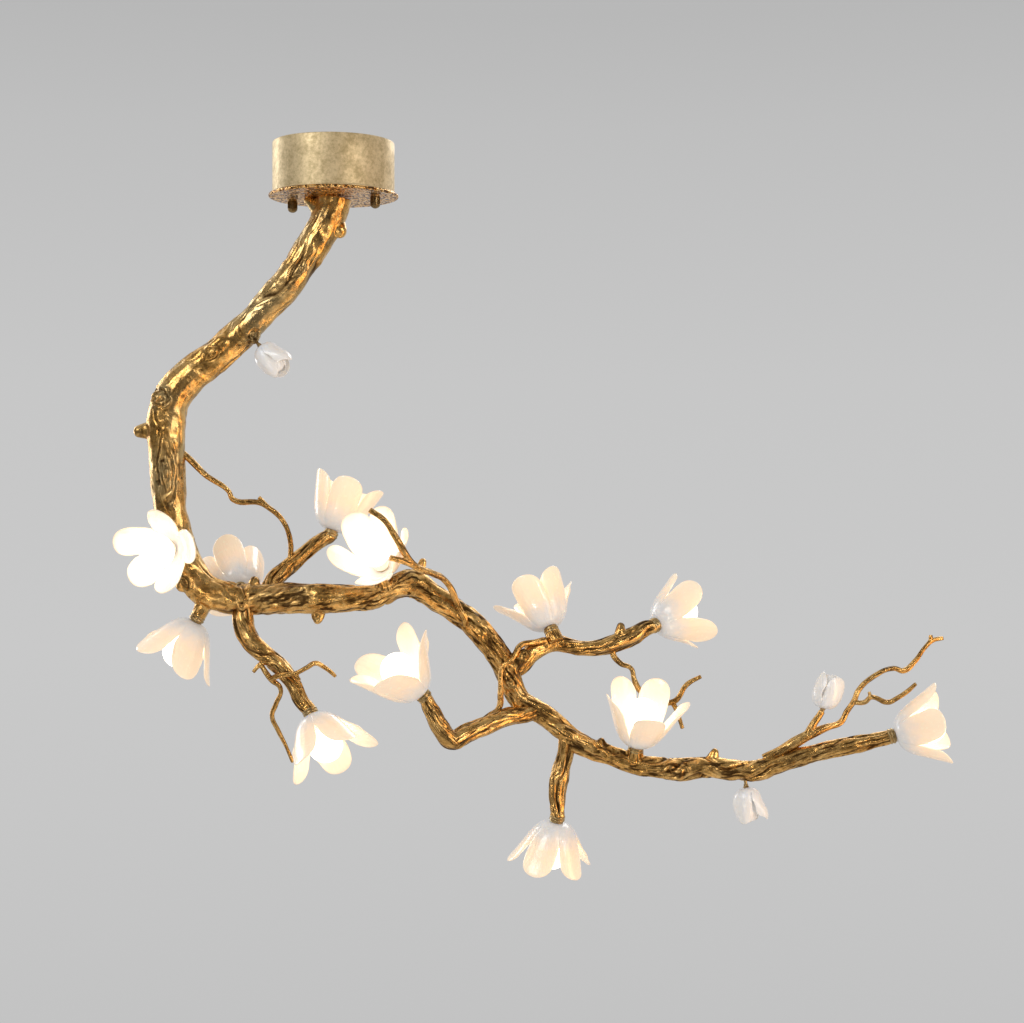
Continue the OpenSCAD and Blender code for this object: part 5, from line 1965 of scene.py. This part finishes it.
@dataclass(frozen=True)
class Studio:
    """A pale floor, a grey surround, soft lights and the photograph's camera.

    The greys are the wall's levels from straight down, 0, to straight up, 1. Reflections see the wall
    dimmed to behind at the first share of dimming along Y, and full from the second on.
    """

    lens: float = 67.5
    sensor: float = 36.0
    camera_place: Point = (0.223, -2.4, -0.46)
    floor_middle: Point = (0.2, 0, -2.4)
    floor_r: float = 3.0
    daylight: Colour = (1.0, 0.985, 0.97)
    ambient: float = 0.36
    behind: float = 0.26
    dimming: tuple[float, float] = (-0.3, 0.5)
    greys: tuple[tuple[float, float], ...] = (
        (0.05, 0.22), (0.374, 0.546), (0.426, 0.571), (0.466, 0.584), (0.534, 0.571), (0.567, 0.546),
        (0.597, 0.521), (0.626, 0.479), (0.72, 0.56), (0.85, 0.82), (1.0, 0.95))
    lamps: tuple[Lamp, ...] = (
        Lamp("key_light", (-1.7, -2.3, 1.2), (0.1, 0, -0.4), 1.3, 1.3, 30.0),
        Lamp("fill_light", (2.2, -1.8, -0.2), (0.3, 0, -0.5), 0.7, 1.2, 10.0),
        Lamp("strip_light", (-1.9, 1.45, 0.1), (0.0, 0, -0.2), 0.5, 2.0, 18.0),
        Lamp("rim_light", (1.2, 2.2, 0.9), (0.25, 0, -0.5), 1.6, 0.8, 14.0),
        Lamp("warm_light", (1.7, -0.7, -1.0), (0.0, 0, -0.40), 0.5, 1.0, 8.0, (1.0, 0.60, 0.28)),
        Lamp("spark_left", (-0.8, -2.2, -1.1), (0.2, 0, -0.5), 0.2, 0.2, 5.0, (1.0, 0.9, 0.78)),
        Lamp("spark_right", (1.5, -2.0, 0.3), (0.2, 0, -0.4), 0.2, 0.2, 5.0, (1.0, 0.9, 0.78)),
    )

    def surround(self) -> None:
        """Light the room evenly, with a grey wall that reflections see dimmed behind the camera."""
        world = bpy.data.worlds.new("studio_surround")
        bpy.context.scene.world = world
        world.use_nodes = True
        look = Nodes(world.node_tree)
        look.tree.nodes.clear()
        ways = look.node("ShaderNodeTexCoord").outputs["Generated"]
        split = look.node("ShaderNodeSeparateXYZ", Vector=ways).outputs
        rays = look.node("ShaderNodeLightPath").outputs
        stops = [(place, (grey, grey, grey)) for place, grey in self.greys]
        wall = look.ramp(look.grade(split["Z"], -1.0, 1.0), stops)
        dimmed = look.grade(split["Y"], *self.dimming, self.behind, 1.0)
        level = look.larger(dimmed, rays["Is Camera Ray"])
        share = rays["Is Camera Ray"]
        for other in ("Is Glossy Ray", "Is Transmission Ray"):
            share = look.larger(share, rays[other])
        even = look.node("ShaderNodeBackground", Color=(*self.daylight, 1), Strength=self.ambient)
        seen = look.node("ShaderNodeBackground", Color=wall, Strength=level)
        mix = look.node("ShaderNodeMixShader")
        for socket, value in zip(mix.inputs, (share, even.outputs[0], seen.outputs[0])):
            look.feed(socket, value)
        look.node("ShaderNodeOutputWorld", Surface=mix.outputs[0])

    def floor(self) -> None:
        """Lay a round pale floor well below the light."""
        start_clean()
        bpy.ops.mesh.primitive_circle_add(
            vertices=96, radius=self.floor_r, fill_type="NGON", location=self.floor_middle)
        floor = named(bpy.context.object, "studio_floor")
        bpy.ops.object.transform_apply(location=True, rotation=False, scale=False)
        paint = Moulded("floor_paint", (0.86, 0.855, 0.845), (0.82, 0.815, 0.805), 0.6, 90)
        floor.data.materials.append(paint.material())

    def camera(self) -> None:
        """Set the camera where the photograph was taken from."""
        start_clean()
        bpy.ops.object.camera_add(location=self.camera_place, rotation=(math.radians(90), 0, 0))
        camera = named(bpy.context.object, "photo_camera")
        camera.data.lens = self.lens
        camera.data.sensor_width = self.sensor
        bpy.context.scene.camera = camera

    def build(self) -> None:
        """Build the whole setting."""
        self.camera()
        self.surround()
        self.floor()
        for lamp in self.lamps:
            lamp.build()
        bpy.context.scene.view_settings.view_transform = "Standard"


def main() -> None:
    """Build each sub-assembly in order."""
    logging.basicConfig(level=logging.INFO, format="%(name)s: %(message)s")
    plate_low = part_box("canopy_plate")[0].z
    Studio().build()
    Canopy().build()
    Branch(plate_low).build()
    Blossoms(plate_low).build()
    Buds(plate_low).build()
    Fixings().dress()
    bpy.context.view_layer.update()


if __name__ == "__main__":
    main()
